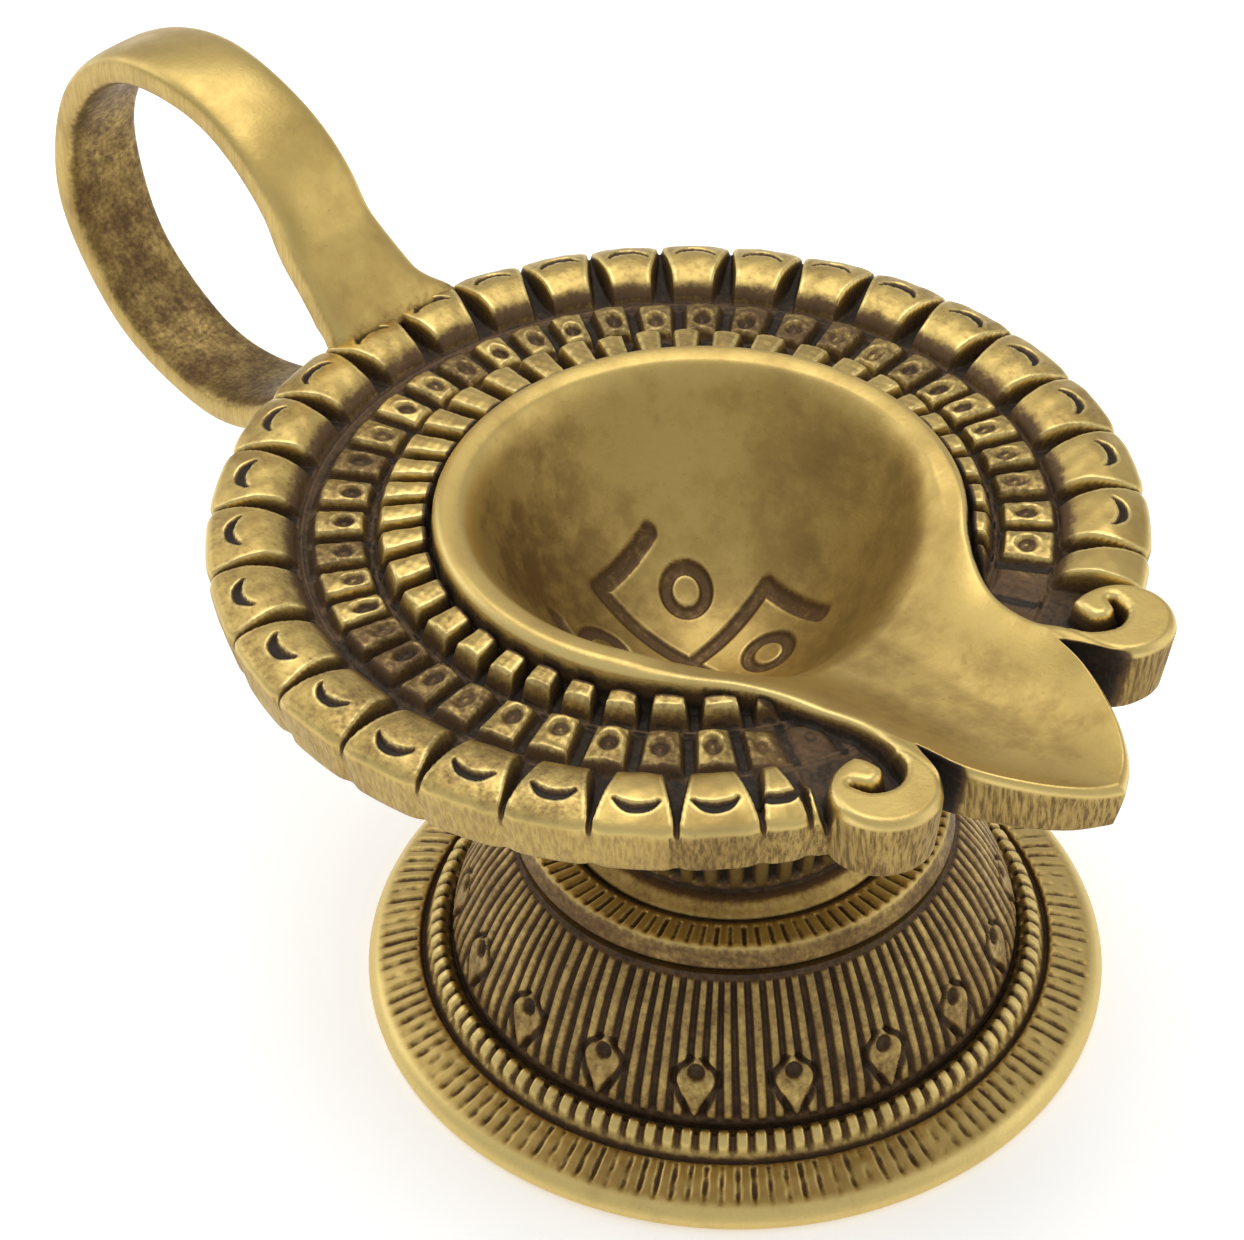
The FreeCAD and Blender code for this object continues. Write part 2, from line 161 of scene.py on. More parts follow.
def through(x, knots):
    """Smooth curve through (x, y) knots: cubic pieces whose slopes are central differences."""
    kx, ky = np.array(knots, float).T
    slope = np.gradient(ky, kx)
    x = np.clip(x, kx[0], kx[-1])
    i = np.clip(np.searchsorted(kx, x) - 1, 0, len(kx) - 2)
    step = kx[i + 1] - kx[i]
    t = (x - kx[i]) / step
    return (
        (2 * t**3 - 3 * t**2 + 1) * ky[i] + (t**3 - 2 * t**2 + t) * step * slope[i]
        + (3 * t**2 - 2 * t**3) * ky[i + 1] + (t**3 - t**2) * step * slope[i + 1]
    )


def curve(points, count):
    """Points spread evenly along a smooth line through the given ones, by chord length."""
    points = np.array(points, float)
    run = np.concatenate([[0], np.cumsum(np.linalg.norm(np.diff(points, axis=0), axis=1))])
    at = np.linspace(0, run[-1], count)
    return np.stack([through(at, np.stack([run, column], axis=1)) for column in points.T], axis=1)


def polyline(points, spacing):
    """Points along straight runs between the given corners, no further apart than spacing."""
    points = np.array(points, float)
    runs = []
    for a, b in zip(points[:-1], points[1:]):
        count = max(2, int(np.linalg.norm(b - a) / spacing) + 1)
        runs.append(a + (b - a) * np.linspace(0, 1, count, endpoint=False)[:, None])
    return np.concatenate(runs + [points[-1:]])


def off_centre(phase):
    """Distance of a phase from the nearest whole number, from -0.5 to 0.5."""
    return phase - np.round(phase)


def wobble(angle, size, seed):
    """Slow hand-made waver round a circle: five sines of low order with seeded phases."""
    phases = np.random.default_rng(seed).uniform(0, 2 * math.pi, 5)
    total = sum(np.sin((k + 2) * angle + phases[k]) / (k + 1.5) for k in range(5))
    return size * total


def grain(angle, count, seed):
    """Fine uneven steps round a circle: seeded random values joined by straight runs."""
    values = np.random.default_rng(seed).uniform(-1, 1, count)
    values[-1] = values[0]
    return np.interp(np.mod(angle, 2 * math.pi), np.linspace(0, 2 * math.pi, count), values)


def skin(name, points, tones, closed=False, looped=False, pole_first=False, pole_last=False):
    """Mesh on a grid of points, rows by columns, one face for each cell of four.

    Faces look along row direction times column direction. closed joins the last column to the
    first, looped the last row to the first, and a pole draws an end row into one point.
    """
    rows, columns = points.shape[:2]
    ids = np.arange(rows * columns).reshape(rows, columns)
    if pole_first:
        ids[0] = ids[0, 0]
    if pole_last:
        ids[-1] = ids[-1, 0]
    if closed:
        ids = np.concatenate([ids, ids[:, :1]], axis=1)
    if looped:
        ids = np.concatenate([ids, ids[:1]], axis=0)
    used = np.zeros(rows * columns, bool)
    used[ids.ravel()] = True
    ids = (np.cumsum(used) - 1)[ids]
    cells = np.stack([ids[:-1, :-1], ids[1:, :-1], ids[1:, 1:], ids[:-1, 1:]], axis=-1)
    first = 1 if pole_first else 0
    last = len(cells) - 1 if pole_last else len(cells)
    faces = cells[first:last].reshape(-1, 4).tolist()
    if pole_first:
        faces += cells[0][:, :3].tolist()
    if pole_last:
        faces += cells[-1][:, [0, 1, 3]].tolist()
    mesh = bpy.data.meshes.new(name)
    mesh.from_pydata((points.reshape(-1, 3)[used] * MM).tolist(), [], faces)
    for tone, values in tones.items():
        layer = mesh.attributes.new(tone, "FLOAT", "POINT")
        spread = np.broadcast_to(values, (rows, columns)).astype(np.float32)
        layer.data.foreach_set("value", spread.ravel()[used])
    mesh.shade_smooth()
    mesh.validate()
    piece = bpy.data.objects.new(name, mesh)
    bpy.context.scene.collection.objects.link(piece)
    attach(piece, "root")
    return piece


# ---- relief of the pan's top ---------------------------------------------------------------
# grooves of the roll, cut by eye: an even pitch with a slow waver, in degrees; then the small
# differences from knuckle to knuckle, bead to bead and block to block
GROOVE_TURNS = np.arange(27)
groove_angles = -35.4 - 11.05 * GROOVE_TURNS + 3.6 * np.sin(2 * math.pi * GROOVE_TURNS / 16.6)
groove_angles = np.radians(np.mod(np.concatenate([[-29.9], groove_angles]), 360.0))
knuckle_angles = (groove_angles[:-1] + groove_angles[1:]) / 2
punch_out = rng.uniform(-0.35, 0.35, len(knuckle_angles))
punch_turn = rng.uniform(-0.22, 0.22, len(knuckle_angles))
punch_width = rng.uniform(-0.08, 0.1, len(knuckle_angles))
bead_lift = rng.uniform(-0.22, 0.12, BEAD_COUNT)
bead_shift = rng.uniform(-0.28, 0.28, BEAD_COUNT)
bead_size = rng.uniform(1.0, 1.4, BEAD_COUNT)
bead_pit = rng.uniform(0.55, 1.0, BEAD_COUNT)
bead_soil = rng.uniform(0.22, 0.48, BEAD_COUNT)
block_lift = rng.uniform(-0.16, 0.12, BLOCK_COUNT)

# along X: half width of horn and spout, and the height of the spout's middle and edge
HORN_EDGE = [(8, 19.85), (10, 18.4), (12, 16.5), (14.2, 14.4), (17, 12.3), (20.8, 10.6), (25.5, 10.0),
             (29, 10.8), (34, 11.6)]
SPOUT_HALF = [(8, 19.85), (12, 16.5), (14.2, 14.3), (17, 12.2), (20.8, 10.4), (25.5, 9.6), (29.5, 9.1),
              (33, 8.5), (37.3, 6.3), (40, 4.4), (42.5, 2.0), (43.6, 0.9)]
SPOUT_MIDDLE = [(8, 45.2), (16, 46.3), (20, 46.8), (30, 47.5), (36, 48.2), (40, 49.0), (43.6, 49.6)]
SPOUT_EDGE = [(8, 52.7), (12, 52.2), (16, 51.1), (20, 50.2), (24, 50.5), (29.5, 51.1), (37.3, 50.5),
              (43.6, 49.8)]
# curl between horn and scroll: x, y and half width of the cut, and a circle that holds it
CURL = [(21.5, 13.4, 1.7), (24.8, 12.4, 1.7), (27.6, 11.9, 1.25), (29.7, 12.3, 0.95), (30.7, 13.8, 0.75),
        (30.2, 15.4, 0.5), (28.9, 16.0, 0.3)]
CURL_MIDDLE = (27.5, 13.5)
CURL_REACH = 9.0


def blocks(r, turn, lip_gap):
    """Ring of small blocks beside the lip: a rounded step cut by radial gaps.

    r and turn are taken about the chasing's axis, lip_gap is the distance from the lip's edge.
    """
    pitch = 2 * math.pi / BLOCK_COUNT
    phase = (turn - math.radians(BLOCK_PHASE) + 0.022 * np.sin(5 * turn)) / pitch
    index = np.mod(np.round(phase).astype(int), BLOCK_COUNT)
    side = np.abs(off_centre(phase)) * pitch * r
    half = pitch * r / 2
    top = BLOCK_TOP + block_lift[index] - 0.1 * (r - 25.0) - 0.5 * (side / half) ** 2
    outer_slope = smooth(r, 26.2, 27.4)
    step = VALLEY + (top - VALLEY) * (1 - outer_slope) * smooth(lip_gap, 0.1, 0.6)
    gap = smooth(side - (half - 0.8), 0.0, 0.5)
    ends = smooth(np.abs(turn), math.radians(26.0), math.radians(29.5))
    height = VALLEY + (step - VALLEY) * (1 - 0.8 * gap) * ends
    dirt = np.maximum(0.95 * gap, 0.5 * smooth(r, 26.2, 26.9)) * (r < BLOCK_OUT)
    return height, dirt * ends


def beads(r, turn):
    """Ring of punched lugs: rounded bosses with an oval pit, parted by deep radial cuts."""
    pitch = 2 * math.pi / BEAD_COUNT
    phase = (turn - math.radians(BEAD_PHASE) + 0.02 * np.sin(4 * turn + 1)) / pitch
    index = np.mod(np.round(phase).astype(int), BEAD_COUNT)
    side = off_centre(phase) * pitch * r
    half = pitch * r / 2
    crown = smooth(r, 27.4, 28.2) * (1 - smooth(r, 32.0, 33.1))
    top = VALLEY + 0.1 + (1.5 + bead_lift[index] - 0.45 * (side / half) ** 2) * crown
    gap = smooth(np.abs(side) - (half - 0.8), 0.0, 0.5) * smooth(r, 26.9, 27.5)
    gap = gap * (1 - smooth(r, 32.3, 33.0))
    along = (r - BEAD_R - bead_shift[index]) / bead_size[index]
    oval = np.hypot(along, (side + bead_shift[index] * 0.7) / 0.85)
    pit = (1 - smooth(oval, 0.5, 1.05)) * bead_pit[index]
    knob = np.exp(-((oval / 0.33) ** 2)) * 0.5
    rim = np.exp(-((oval - 1.25) / 0.25) ** 2)
    full = smooth(np.abs(turn), math.radians(27), math.radians(41))
    height = VALLEY + (top - VALLEY) * (1 - 0.85 * gap) * (0.15 + 0.85 * full)
    height = height + (0.08 * rim - 0.7 * pit + 0.7 * knob * pit) * full
    dirt = np.maximum(0.92 * gap, (0.9 - 0.5 * knob) * pit)
    dirt = np.maximum(dirt, bead_soil[index] + 0.4 * smooth(r, 31.9, 32.8))
    dirt = np.maximum(dirt, 0.55 * (1 - full)) * (r > 26.7) * (r < ROLL_FOOT_R + 0.1)
    return height, dirt


def roll(q, beta):
    """Outer roll cut into knuckles, each with a crescent punched near its outer edge.

    The section is a quarter super-ellipse up to the crest and a slow fall beyond it. A groove
    is a wedge, widest at the roll's foot; a crescent is part of a ring that opens to the bowl.
    """
    turn = np.mod(beta, 2 * math.pi)
    inner = np.clip((ROLL_CREST_R - q) / (ROLL_CREST_R - ROLL_FOOT_R), 0, 1)
    outer = np.clip((q - ROLL_CREST_R) / (FLANGE_R - ROLL_CREST_R), 0, 1.4)
    section = VALLEY + (ROLL_CREST - VALLEY) * (1 - inner**2.1) ** 0.5
    section = section - (ROLL_CREST - ROLL_EDGE) * outer**1.9
    away = np.full(q.shape, 99.0)
    for angle in groove_angles:
        away = np.minimum(away, np.abs(turn - angle) * q)
    half = 1.12 - 0.85 * smooth(q, 34.5, 40.9)
    groove = 1 - smooth(away, half * 0.45, half * 1.05)
    depth = 2.2 - 1.7 * smooth(q, 36.5, 40.9)
    section = section - np.minimum(depth * groove, np.maximum(section - VALLEY - 0.1, 0.0))
    section = section - 0.3 * np.clip(1 - away / 3.2, 0, 1) ** 2 + wobble(9 * beta, 0.05, 31)
    dirt = groove * 0.93
    for k, angle in enumerate(knuckle_angles):
        u = (turn - angle + punch_turn[k] * 0.02) * q
        v = q - (36.7 + punch_out[k])
        reach = np.hypot(u, v)
        swing = np.arctan2(u, v)
        mid = 1 - smooth(np.abs(swing), 0.3, 1.0)
        width = 0.14 + (0.34 + punch_width[k]) * mid
        cut = (1 - smooth(np.abs(reach - 2.3), width * 0.5, width * 1.15)) * (np.abs(swing) < 0.96)
        section = section - 0.42 * cut
        dirt = np.maximum(dirt, cut)
    # painted shade on the roll's inner slope, together with brown patina at its foot: darker towards the
    # foot
    dirt = np.maximum(dirt, 0.62 * smooth(inner, 0.45, 0.95))
    standing = smooth(np.abs(beta), ROLL_END - 0.012, ROLL_END + 0.006)
    return VALLEY + (section - VALLEY) * standing, np.maximum(dirt, 0.8 * (1 - standing))


def satin(x, y, rho):
    """Bowl, lip, horns and spout: a deep dish meeting a lip ring and a shallow spout.

    The dish rises from its floor with the 2.35th power of the radius.
    """
    side = np.abs(y)
    half = through(x, SPOUT_HALF)
    low = through(x, SPOUT_MIDDLE)
    edge = through(x, SPOUT_EDGE)
    across = np.clip(side / half, 0, 1)
    dished = across**2.6
    rounded = smooth(across, 0.18, 1.12)
    on_tongue = smooth(x, 25.0, 33.0)
    spout = low + (edge - low) * (rounded + (dished - rounded) * on_tongue)
    scroll_part = smooth(side - half, 0.0, 1.6) * smooth(x, 24.0, 28.0)
    spout = spout + (SCROLL_TOP - edge) * scroll_part
    inward = np.clip(LIP_R + 0.2 - rho, 0, 9)
    outward = np.clip(rho - LIP_R, 0, 9)
    ring = LIP_TOP - 0.25 - 0.10 * inward**2 - 0.12 * outward**2
    front = smooth(x, 4.0, 13.0)
    top = ring + (spout - ring) * front
    depth = LIP_TOP - BOWL_FLOOR
    dish = BOWL_FLOOR + depth * (rho / BOWL_R) ** 2.35
    return soft_min(top, dish, 1.6 + 1.6 * front)


def satin_reach(x, y, rho):
    """Distance inside the edge of the satin part: lip circle, then horn line, scroll and curl."""
    side = np.abs(y)
    horn = (through(x, HORN_EDGE) - side) * 0.85
    ring = LIP_OUTER_R - rho
    blend = smooth(x, 11.0, 15.0)
    reach = ring + (horn - ring) * blend
    scroll = SCROLL_R - np.hypot(x - SCROLL_X, side - SCROLL_Y)
    reach = soft_max(reach, scroll, 0.4)
    near = np.hypot(x - CURL_MIDDLE[0], side - CURL_MIDDLE[1]) < CURL_REACH
    cut = np.full(np.shape(reach), 99.0)
    for px, py, width in curve(CURL, 30):
        cut[near] = np.minimum(cut[near], np.hypot(x[near] - px, side[near] - py) - width)
    return np.minimum(reach, cut)


# devotional mark cut in the bowl's floor: four bent arms with a ringed dot between each pair
ARM_TURN = [math.radians(a) for a in (191.5, 90.8, 3.0, 268.0)]
ARM_LENGTH = 9.9
ARM_HOOK = 7.4
HOOK_TURN = math.pi / 2 * 1.05
MARK = (-1.0, -0.3)
RINGS = [(3.9, 4.7), (-6.6, 4.8), (-5.7, -6.3), (4.6, -5.8)]
RING_R = 1.85
MARK_REACH = 15.5
MARK_DEPTH = 0.38


def segment_distance(px, py, ax, ay, bx, by):
    """Distance from points to the straight run between a and b."""
    run_x, run_y = bx - ax, by - ay
    t = np.clip(((px - ax) * run_x + (py - ay) * run_y) / (run_x**2 + run_y**2), 0, 1)
    return np.hypot(px - ax - t * run_x, py - ay - t * run_y)


def floor_mark(x, y):
    """Depth share, 0 to 1, of the mark's shallow channels on the bowl's floor."""
    px = x - BOWL_X
    cut = np.zeros(np.shape(x))
    for turn in ARM_TURN:
        ex = MARK[0] + ARM_LENGTH * math.cos(turn)
        ey = MARK[1] + ARM_LENGTH * math.sin(turn)
        hx = ex + ARM_HOOK * math.cos(turn - HOOK_TURN)
        hy = ey + ARM_HOOK * math.sin(turn - HOOK_TURN)
        for ax, ay, bx, by in ((MARK[0], MARK[1], ex, ey), (ex, ey, hx, hy)):
            away = segment_distance(px, y, ax, ay, bx, by)
            cut = np.maximum(cut, 1 - smooth(away, 0.3, 0.95))
    for cx, cy in RINGS:
        away = np.abs(np.hypot(px - cx, y - cy) - RING_R)
        cut = np.maximum(cut, 1 - smooth(away, 0.3, 0.75))
    return cut


def pan_top(x, y):
    """Height and dirt of the pan's upper face at plan points, with painted shade on the roll's inner
    slope.

    Outside the satin part the highest of blocks, beads, ground and roll holds; inside it the
    dish and spout hold, rounded down at their edge and cut by the mark.
    """
    rho = np.hypot(x - BOWL_X, y)
    q = np.hypot(x - FLANGE_X, y)
    beta = np.arctan2(y, x - FLANGE_X)
    r = np.hypot(x - CHASE_X, y)
    turn = np.arctan2(y, x - CHASE_X)
    reach = satin_reach(x, y, rho)
    block_z, block_dirt = blocks(r, turn, -reach)
    bead_z, bead_dirt = beads(r, turn)
    roll_z, roll_dirt_and_shade = roll(q, beta)
    on_roll = smooth(q, ROLL_FOOT_R - 0.1, ROLL_FOOT_R + 0.3)
    dusty = 0.5 * np.exp(-((q - 32.95) / 0.28) ** 2) + 0.6 * np.exp(-((r - BLOCK_OUT) / 0.25) ** 2)
    chased = np.maximum(np.maximum(block_z, bead_z), VALLEY - 0.15 + dusty)
    outside = soft_max(chased, np.where(on_roll > 0, roll_z, VALLEY - 0.3), 0.25)
    ring_dirt = np.where(r < BLOCK_OUT, block_dirt, bead_dirt)
    dirt = np.maximum(ring_dirt * (1 - on_roll), roll_dirt_and_shade * on_roll)
    base_dirt = 0.66 * (1 - smooth(outside, VALLEY + 0.2, VALLEY + 1.0))
    dirt = np.maximum(dirt, base_dirt)
    slow_lumps = np.sin(2.1 * x + 1.3 * y) * np.sin(1.7 * y - 0.9 * x)
    quick_lumps = np.sin(4.3 * x - 2.2 * y + 1) * np.sin(3.9 * y + 2.7 * x)
    outside = outside + 0.035 * slow_lumps + 0.03 * quick_lumps * (1 - on_roll)
    round_r = 0.8 + (LIP_ROUND - 0.8) * (1 - smooth(x, 5.0, 16.0))
    drop = round_r - np.sqrt(round_r**2 - np.clip(round_r - reach, 0, round_r) ** 2)
    mark = floor_mark(x, y) * (rho < MARK_REACH)
    inside = satin(x, y, rho) - drop - MARK_DEPTH * mark
    share = smooth(reach, -0.35, 0.08)
    height = outside + (inside - outside) * share
    scored = 0.5 * mark + 0.9 * mark * (1 - mark)
    dirt = dirt * (1 - share) + scored * share
    foot_dark = (1 - smooth(np.abs(reach + 0.35), 0.2, 0.75)) * 0.95
    dirt = np.maximum(dirt, foot_dark * (1 - smooth(reach, -0.2, 0.15)))
    return height, dirt


def hollows(x, y, reach):
    """How far the top lies under the mean of eight points round it; negative on crests."""
    total = 0.0
    for k in range(8):
        turn = k * math.pi / 4 + 0.2
        total = total + pan_top(x + reach * math.cos(turn), y + reach * math.sin(turn))[0]
    return total / 8 - pan_top(x, y)[0]


def pan_tones(x, y, dirt):
    """Patina from marked dirt and from hollows, with painted shade towards the flange's front, and wear on
    crests; the bowl's brown tint with painted shade on its left wall and painted light on its far wall;
    each from 0 to 1.
    """
    fine = hollows(x, y, 0.45)
    broad = hollows(x, y, 1.5)
    patina_and_shade = np.maximum(dirt, smooth(fine, 0.03, 0.22) * 0.8)
    patina_and_shade = np.maximum(patina_and_shade, smooth(broad, 0.15, 0.9) * 0.75)
    worn = smooth(-fine, 0.03, 0.16) * (1 - patina_and_shade)
    rho = np.hypot(x - BOWL_X, y)
    bowl = 1 - smooth(rho, BOWL_R - 1.8, BOWL_R - 0.4)
    front = smooth(x, 6.0, 13.0)
    # painted shade and light in the bowl: its brown tint is raised on the left wall (painted shade) and
    # lowered on the far wall (painted light); the spout's sill, where it leaves the bowl, is darkened as
    # well
    slant = math.sqrt(2) * (rho + 1.0)
    lit = np.clip((y - x + BOWL_X) / slant, 0, 1) ** 2
    left = np.clip((BOWL_X - x - y) / slant, 0, 1) ** 2
    on_wall = smooth(rho, 4.0, 12.0)
    shade = bowl * (1 - 0.3 * front) * (1 + (0.9 * left - 0.85 * lit) * on_wall)
    across = np.abs(y) / through(x, SPOUT_HALF)
    sill = 0.85 * smooth(x, 11.0, 16.0) * (1 - smooth(across, 0.5, 0.95)) * (rho > BOWL_R - 3.0)
    shade = np.maximum(shade, sill)
    outside = (1 - smooth(LIP_OUTER_R - rho, -0.3, 0.3)) * (1 - smooth(x, 12.0, 20.0))
    # painted shade: outside the lip the base patina rises towards the near side of the flange, +X and -Y
    painted_front_shade = np.clip((x - FLANGE_X - y) / (math.sqrt(2) * FLANGE_R), 0, 1)
    patina_and_shade = np.maximum(patina_and_shade, (0.2 + 0.12 * painted_front_shade) * outside)
    patina_and_shade = patina_and_shade * (1 - 0.75 * bowl * (floor_mark(x, y) < 0.05))
    return {"patina_and_shade": np.clip(patina_and_shade, 0, 1), "worn": worn, "bowl": shade, "edge": 0.0}


# ---- plan outline of the pan ---------------------------------------------------------------
TONGUE = [(TIP_X, 0), (41.9, 2.6), (39.6, 4.7), (36.5, 6.7), (33, 8.3), (NOTCH_X, NOTCH_Y)]


def outline(beta):
    """Radius of the pan's edge about the flange axis.

    It follows the flange circle, the scroll circles, a steep wall at each notch and the
    tongue's two sides, which meet at the tip. Each groove of the roll draws it in a little.
    """
    side = np.abs(np.arctan2(np.sin(beta), np.cos(beta)))
    across = math.hypot(SCROLL_X - FLANGE_X, SCROLL_Y)
    bearing = math.atan2(SCROLL_Y, SCROLL_X - FLANGE_X)
    spread = np.clip(across * np.sin(side - bearing), -SCROLL_R, SCROLL_R)
    scroll = across * np.cos(side - bearing) + np.sqrt(SCROLL_R**2 - spread**2)
    flange = FLANGE_R - 0.12 + wobble(beta, 0.12, 3)
    flange = flange - 10 * np.clip(bearing + 0.02 - side, 0, None) * FLANGE_R
    tongue_x, tongue_y = curve(TONGUE, 60).T
    tongue_turn = np.arctan2(tongue_y, tongue_x - FLANGE_X)
    tongue = np.interp(side, tongue_turn, np.hypot(tongue_x - FLANGE_X, tongue_y))
    notch = tongue_turn[-1]
    mouth = notch + NOTCH_WIDE
    body = soft_max(scroll, flange, 0.6)
    deep = math.hypot(NOTCH_X - 0.1 - FLANGE_X, NOTCH_Y - 0.1)
    wall = deep + (body - deep) * smooth(side, notch, mouth)
    radius = np.where(side < notch, tongue, np.where(side < mouth, wall, body))
    groove = np.zeros(np.shape(side))
    turn = np.mod(beta, 2 * math.pi)
    for angle in groove_angles:
        groove = groove + np.exp(-((turn - angle) * FLANGE_R / 0.75) ** 2)
    return radius - 0.32 * groove


def edge_rows(beta, radius):
    """Rows from the top's outer arris down the filed edge wall to the base.

    Arris: quarter round. Wall: straight and drawn in slightly, with fine uneven file strokes.
    """
    def plan(r):
        """Plan position at a radius about the flange axis."""
        return FLANGE_X + r * np.cos(beta), r * np.sin(beta)

    points = []
    x, y = plan(radius - ARRIS)
    crest = pan_top(x, y)[0]
    for turn in np.linspace(0.25, 1.0, 5) * math.pi / 2:
        x, y = plan(radius - ARRIS + ARRIS * math.sin(turn))
        points.append((x, y, crest - ARRIS * (1 - math.cos(turn)) - 0.25 * math.sin(turn)))
    high = points[-1][2]
    stroke = grain(beta, 1700, 5) * 0.05 + grain(beta, 520, 6) * 0.07
    for share in np.linspace(0.1, 1.0, 9):
        z = high + (EDGE_LOW + 0.4 - high) * share
        fade = math.sin(math.pi * min(share * 1.1, 1.0))
        x, y = plan(radius - 0.9 * share + stroke * fade)
        points.append((x, y, z))
    x, y = plan(radius - EDGE_IN)
    points.append((x, y, np.full_like(x, EDGE_LOW)))
    return np.stack([np.stack(row, axis=-1) for row in points])


# ---- pan pieces ----------------------------------------------------------------------------
def top_grid(x, y):
    """Points and tones of the pan's top over a grid of plan positions."""
    height, dirt = pan_top(x, y)
    return np.stack([x, y, height], axis=-1), pan_tones(x, y, dirt)


def with_edge(points, tones, beta, radius, filed):
    """The top's grid with the edge rows added below its last row, and tones to match."""
    rows = edge_rows(beta, radius)
    lower = len(rows)
    arris = np.concatenate([np.linspace(0.55, 0.9, 3), np.full(2, 0.3), np.zeros(lower - 5)])[:, None]
    wall = np.concatenate([np.zeros(4), np.ones(lower - 4)])[:, None]
    edge_patina = np.repeat(tones["patina_and_shade"][-1:], lower, axis=0)
    fade = np.linspace(0.9, 0.0, lower)[:, None] ** 2
    turn = np.abs(beta)[None]
    # painted shade in the recess beside each notch: the tongue's wall and the scroll's flank there are
    # drawn near black
    painted_notch_shade = smooth(turn, NOTCH_TURN - 0.058, NOTCH_TURN - 0.04)
    painted_notch_shade = painted_notch_shade * (1 - smooth(turn, NOTCH_TURN + NOTCH_WIDE, NOTCH_TURN + 0.04))
    added = {
        "patina_and_shade": np.maximum(edge_patina * fade, 0.95 * painted_notch_shade),
        "worn": np.broadcast_to(arris, (lower, points.shape[1])) * (1 - edge_patina),
        "bowl": np.zeros((lower, points.shape[1])),
        "edge": np.broadcast_to(filed * wall, (lower, points.shape[1])),
    }
    merged = {}
    for tone, values in tones.items():
        upper = np.broadcast_to(values, points.shape[:2])
        merged[tone] = np.concatenate([upper, added[tone]])
    return np.concatenate([points, rows]), merged


def pan_floor():
    """Disc of the bowl's floor about the bowl's axis, with a pole in the middle."""
    rho = np.linspace(0, 1, 110)[:, None] ** 0.9 * FLOOR_R
    alpha = np.linspace(0, 2 * math.pi, 440, endpoint=False)[None]
    points, tones = top_grid(BOWL_X + rho * np.cos(alpha), rho * np.sin(alpha))
    return skin("pan_bowl_floor", points, tones, closed=True, pole_first=True)


def sector_end(rho):
    """Turn about the bowl's axis at which a circle of radius rho meets the spout sector."""
    return SECTOR + np.arcsin((BOWL_X - FLANGE_X) * math.sin(SECTOR) / rho)


def pan_lip():
    """Bowl wall and lip round the rear, from one side of the spout sector to the other."""
    inner = np.linspace(FLOOR_R, 19.6, 14, endpoint=False)
    wall = np.linspace(19.6, 21.4, 20, endpoint=False)
    outer = np.linspace(21.4, LIP_GRID_R, 20)
    rho = np.concatenate([inner, wall, outer])[:, None]
    start = sector_end(rho)
    alpha = start + (2 * math.pi - 2 * start) * np.linspace(0, 1, 620)[None]
    points, tones = top_grid(BOWL_X + rho * np.cos(alpha), rho * np.sin(alpha))
    return skin("pan_lip", points, tones)


def pan_chasing():
    """Rings of blocks and beads between the lip's groove and the roll's foot."""
    start = sector_end(np.full(1, 29.0))[0]
    share = np.linspace(0, 1, 1240)[None]
    step = np.linspace(0, 1, 58)[:, None]
    alpha = start + (2 * math.pi - 2 * start) * share
    offset = BOWL_X - FLANGE_X
    outer_r = np.sqrt(CHASING_OUT**2 - (offset * np.sin(alpha)) ** 2) - offset * np.cos(alpha)
    rho = LIP_GRID_R + (outer_r - LIP_GRID_R) * step
    start = sector_end(rho)
    alpha = start + (2 * math.pi - 2 * start) * share
    points, tones = top_grid(BOWL_X + rho * np.cos(alpha), rho * np.sin(alpha))
    return skin("pan_chased_rings", points, tones)


def pan_roll():
    """Knuckled outer roll with its filed edge."""
    beta = np.linspace(SECTOR, 2 * math.pi - SECTOR, 1500)[None]
    radius = outline(beta[0])
    step = np.linspace(0, 1, 44)[:, None]
    q = CHASING_OUT - 0.1 + (radius[None] - ARRIS - CHASING_OUT + 0.1) * step
    points, tones = top_grid(FLANGE_X + q * np.cos(beta), q * np.sin(beta))
    points, tones = with_edge(points, tones, beta[0], radius, 0.85)
    return skin("pan_knuckle_roll", points, tones)


def pan_spout():
    """Front sector: sill, horns, scrolls and tongue, with columns crowded at the notches."""
    even = np.linspace(-SECTOR, SECTOR, 4001)
    crowd = 1 + 2.5 * np.exp(-((np.abs(even) - NOTCH_TURN) / 0.025) ** 2)
    run = np.concatenate([[0], np.cumsum((crowd[1:] + crowd[:-1]) / 2)])
    beta = np.interp(np.linspace(0, run[-1], 560), run, even)[None]
    radius = outline(beta[0])
    offset = BOWL_X - FLANGE_X
    inner = offset * np.cos(beta) + np.sqrt(FLOOR_R**2 - (offset * np.sin(beta)) ** 2)
    step = np.linspace(0, 1, 150)[:, None]
    q = inner + (radius[None] - ARRIS - inner) * step
    points, tones = top_grid(FLANGE_X + q * np.cos(beta), q * np.sin(beta))
    points, tones = with_edge(points, tones, beta[0], radius, 1.5)
    return skin("pan_spout", points, tones)


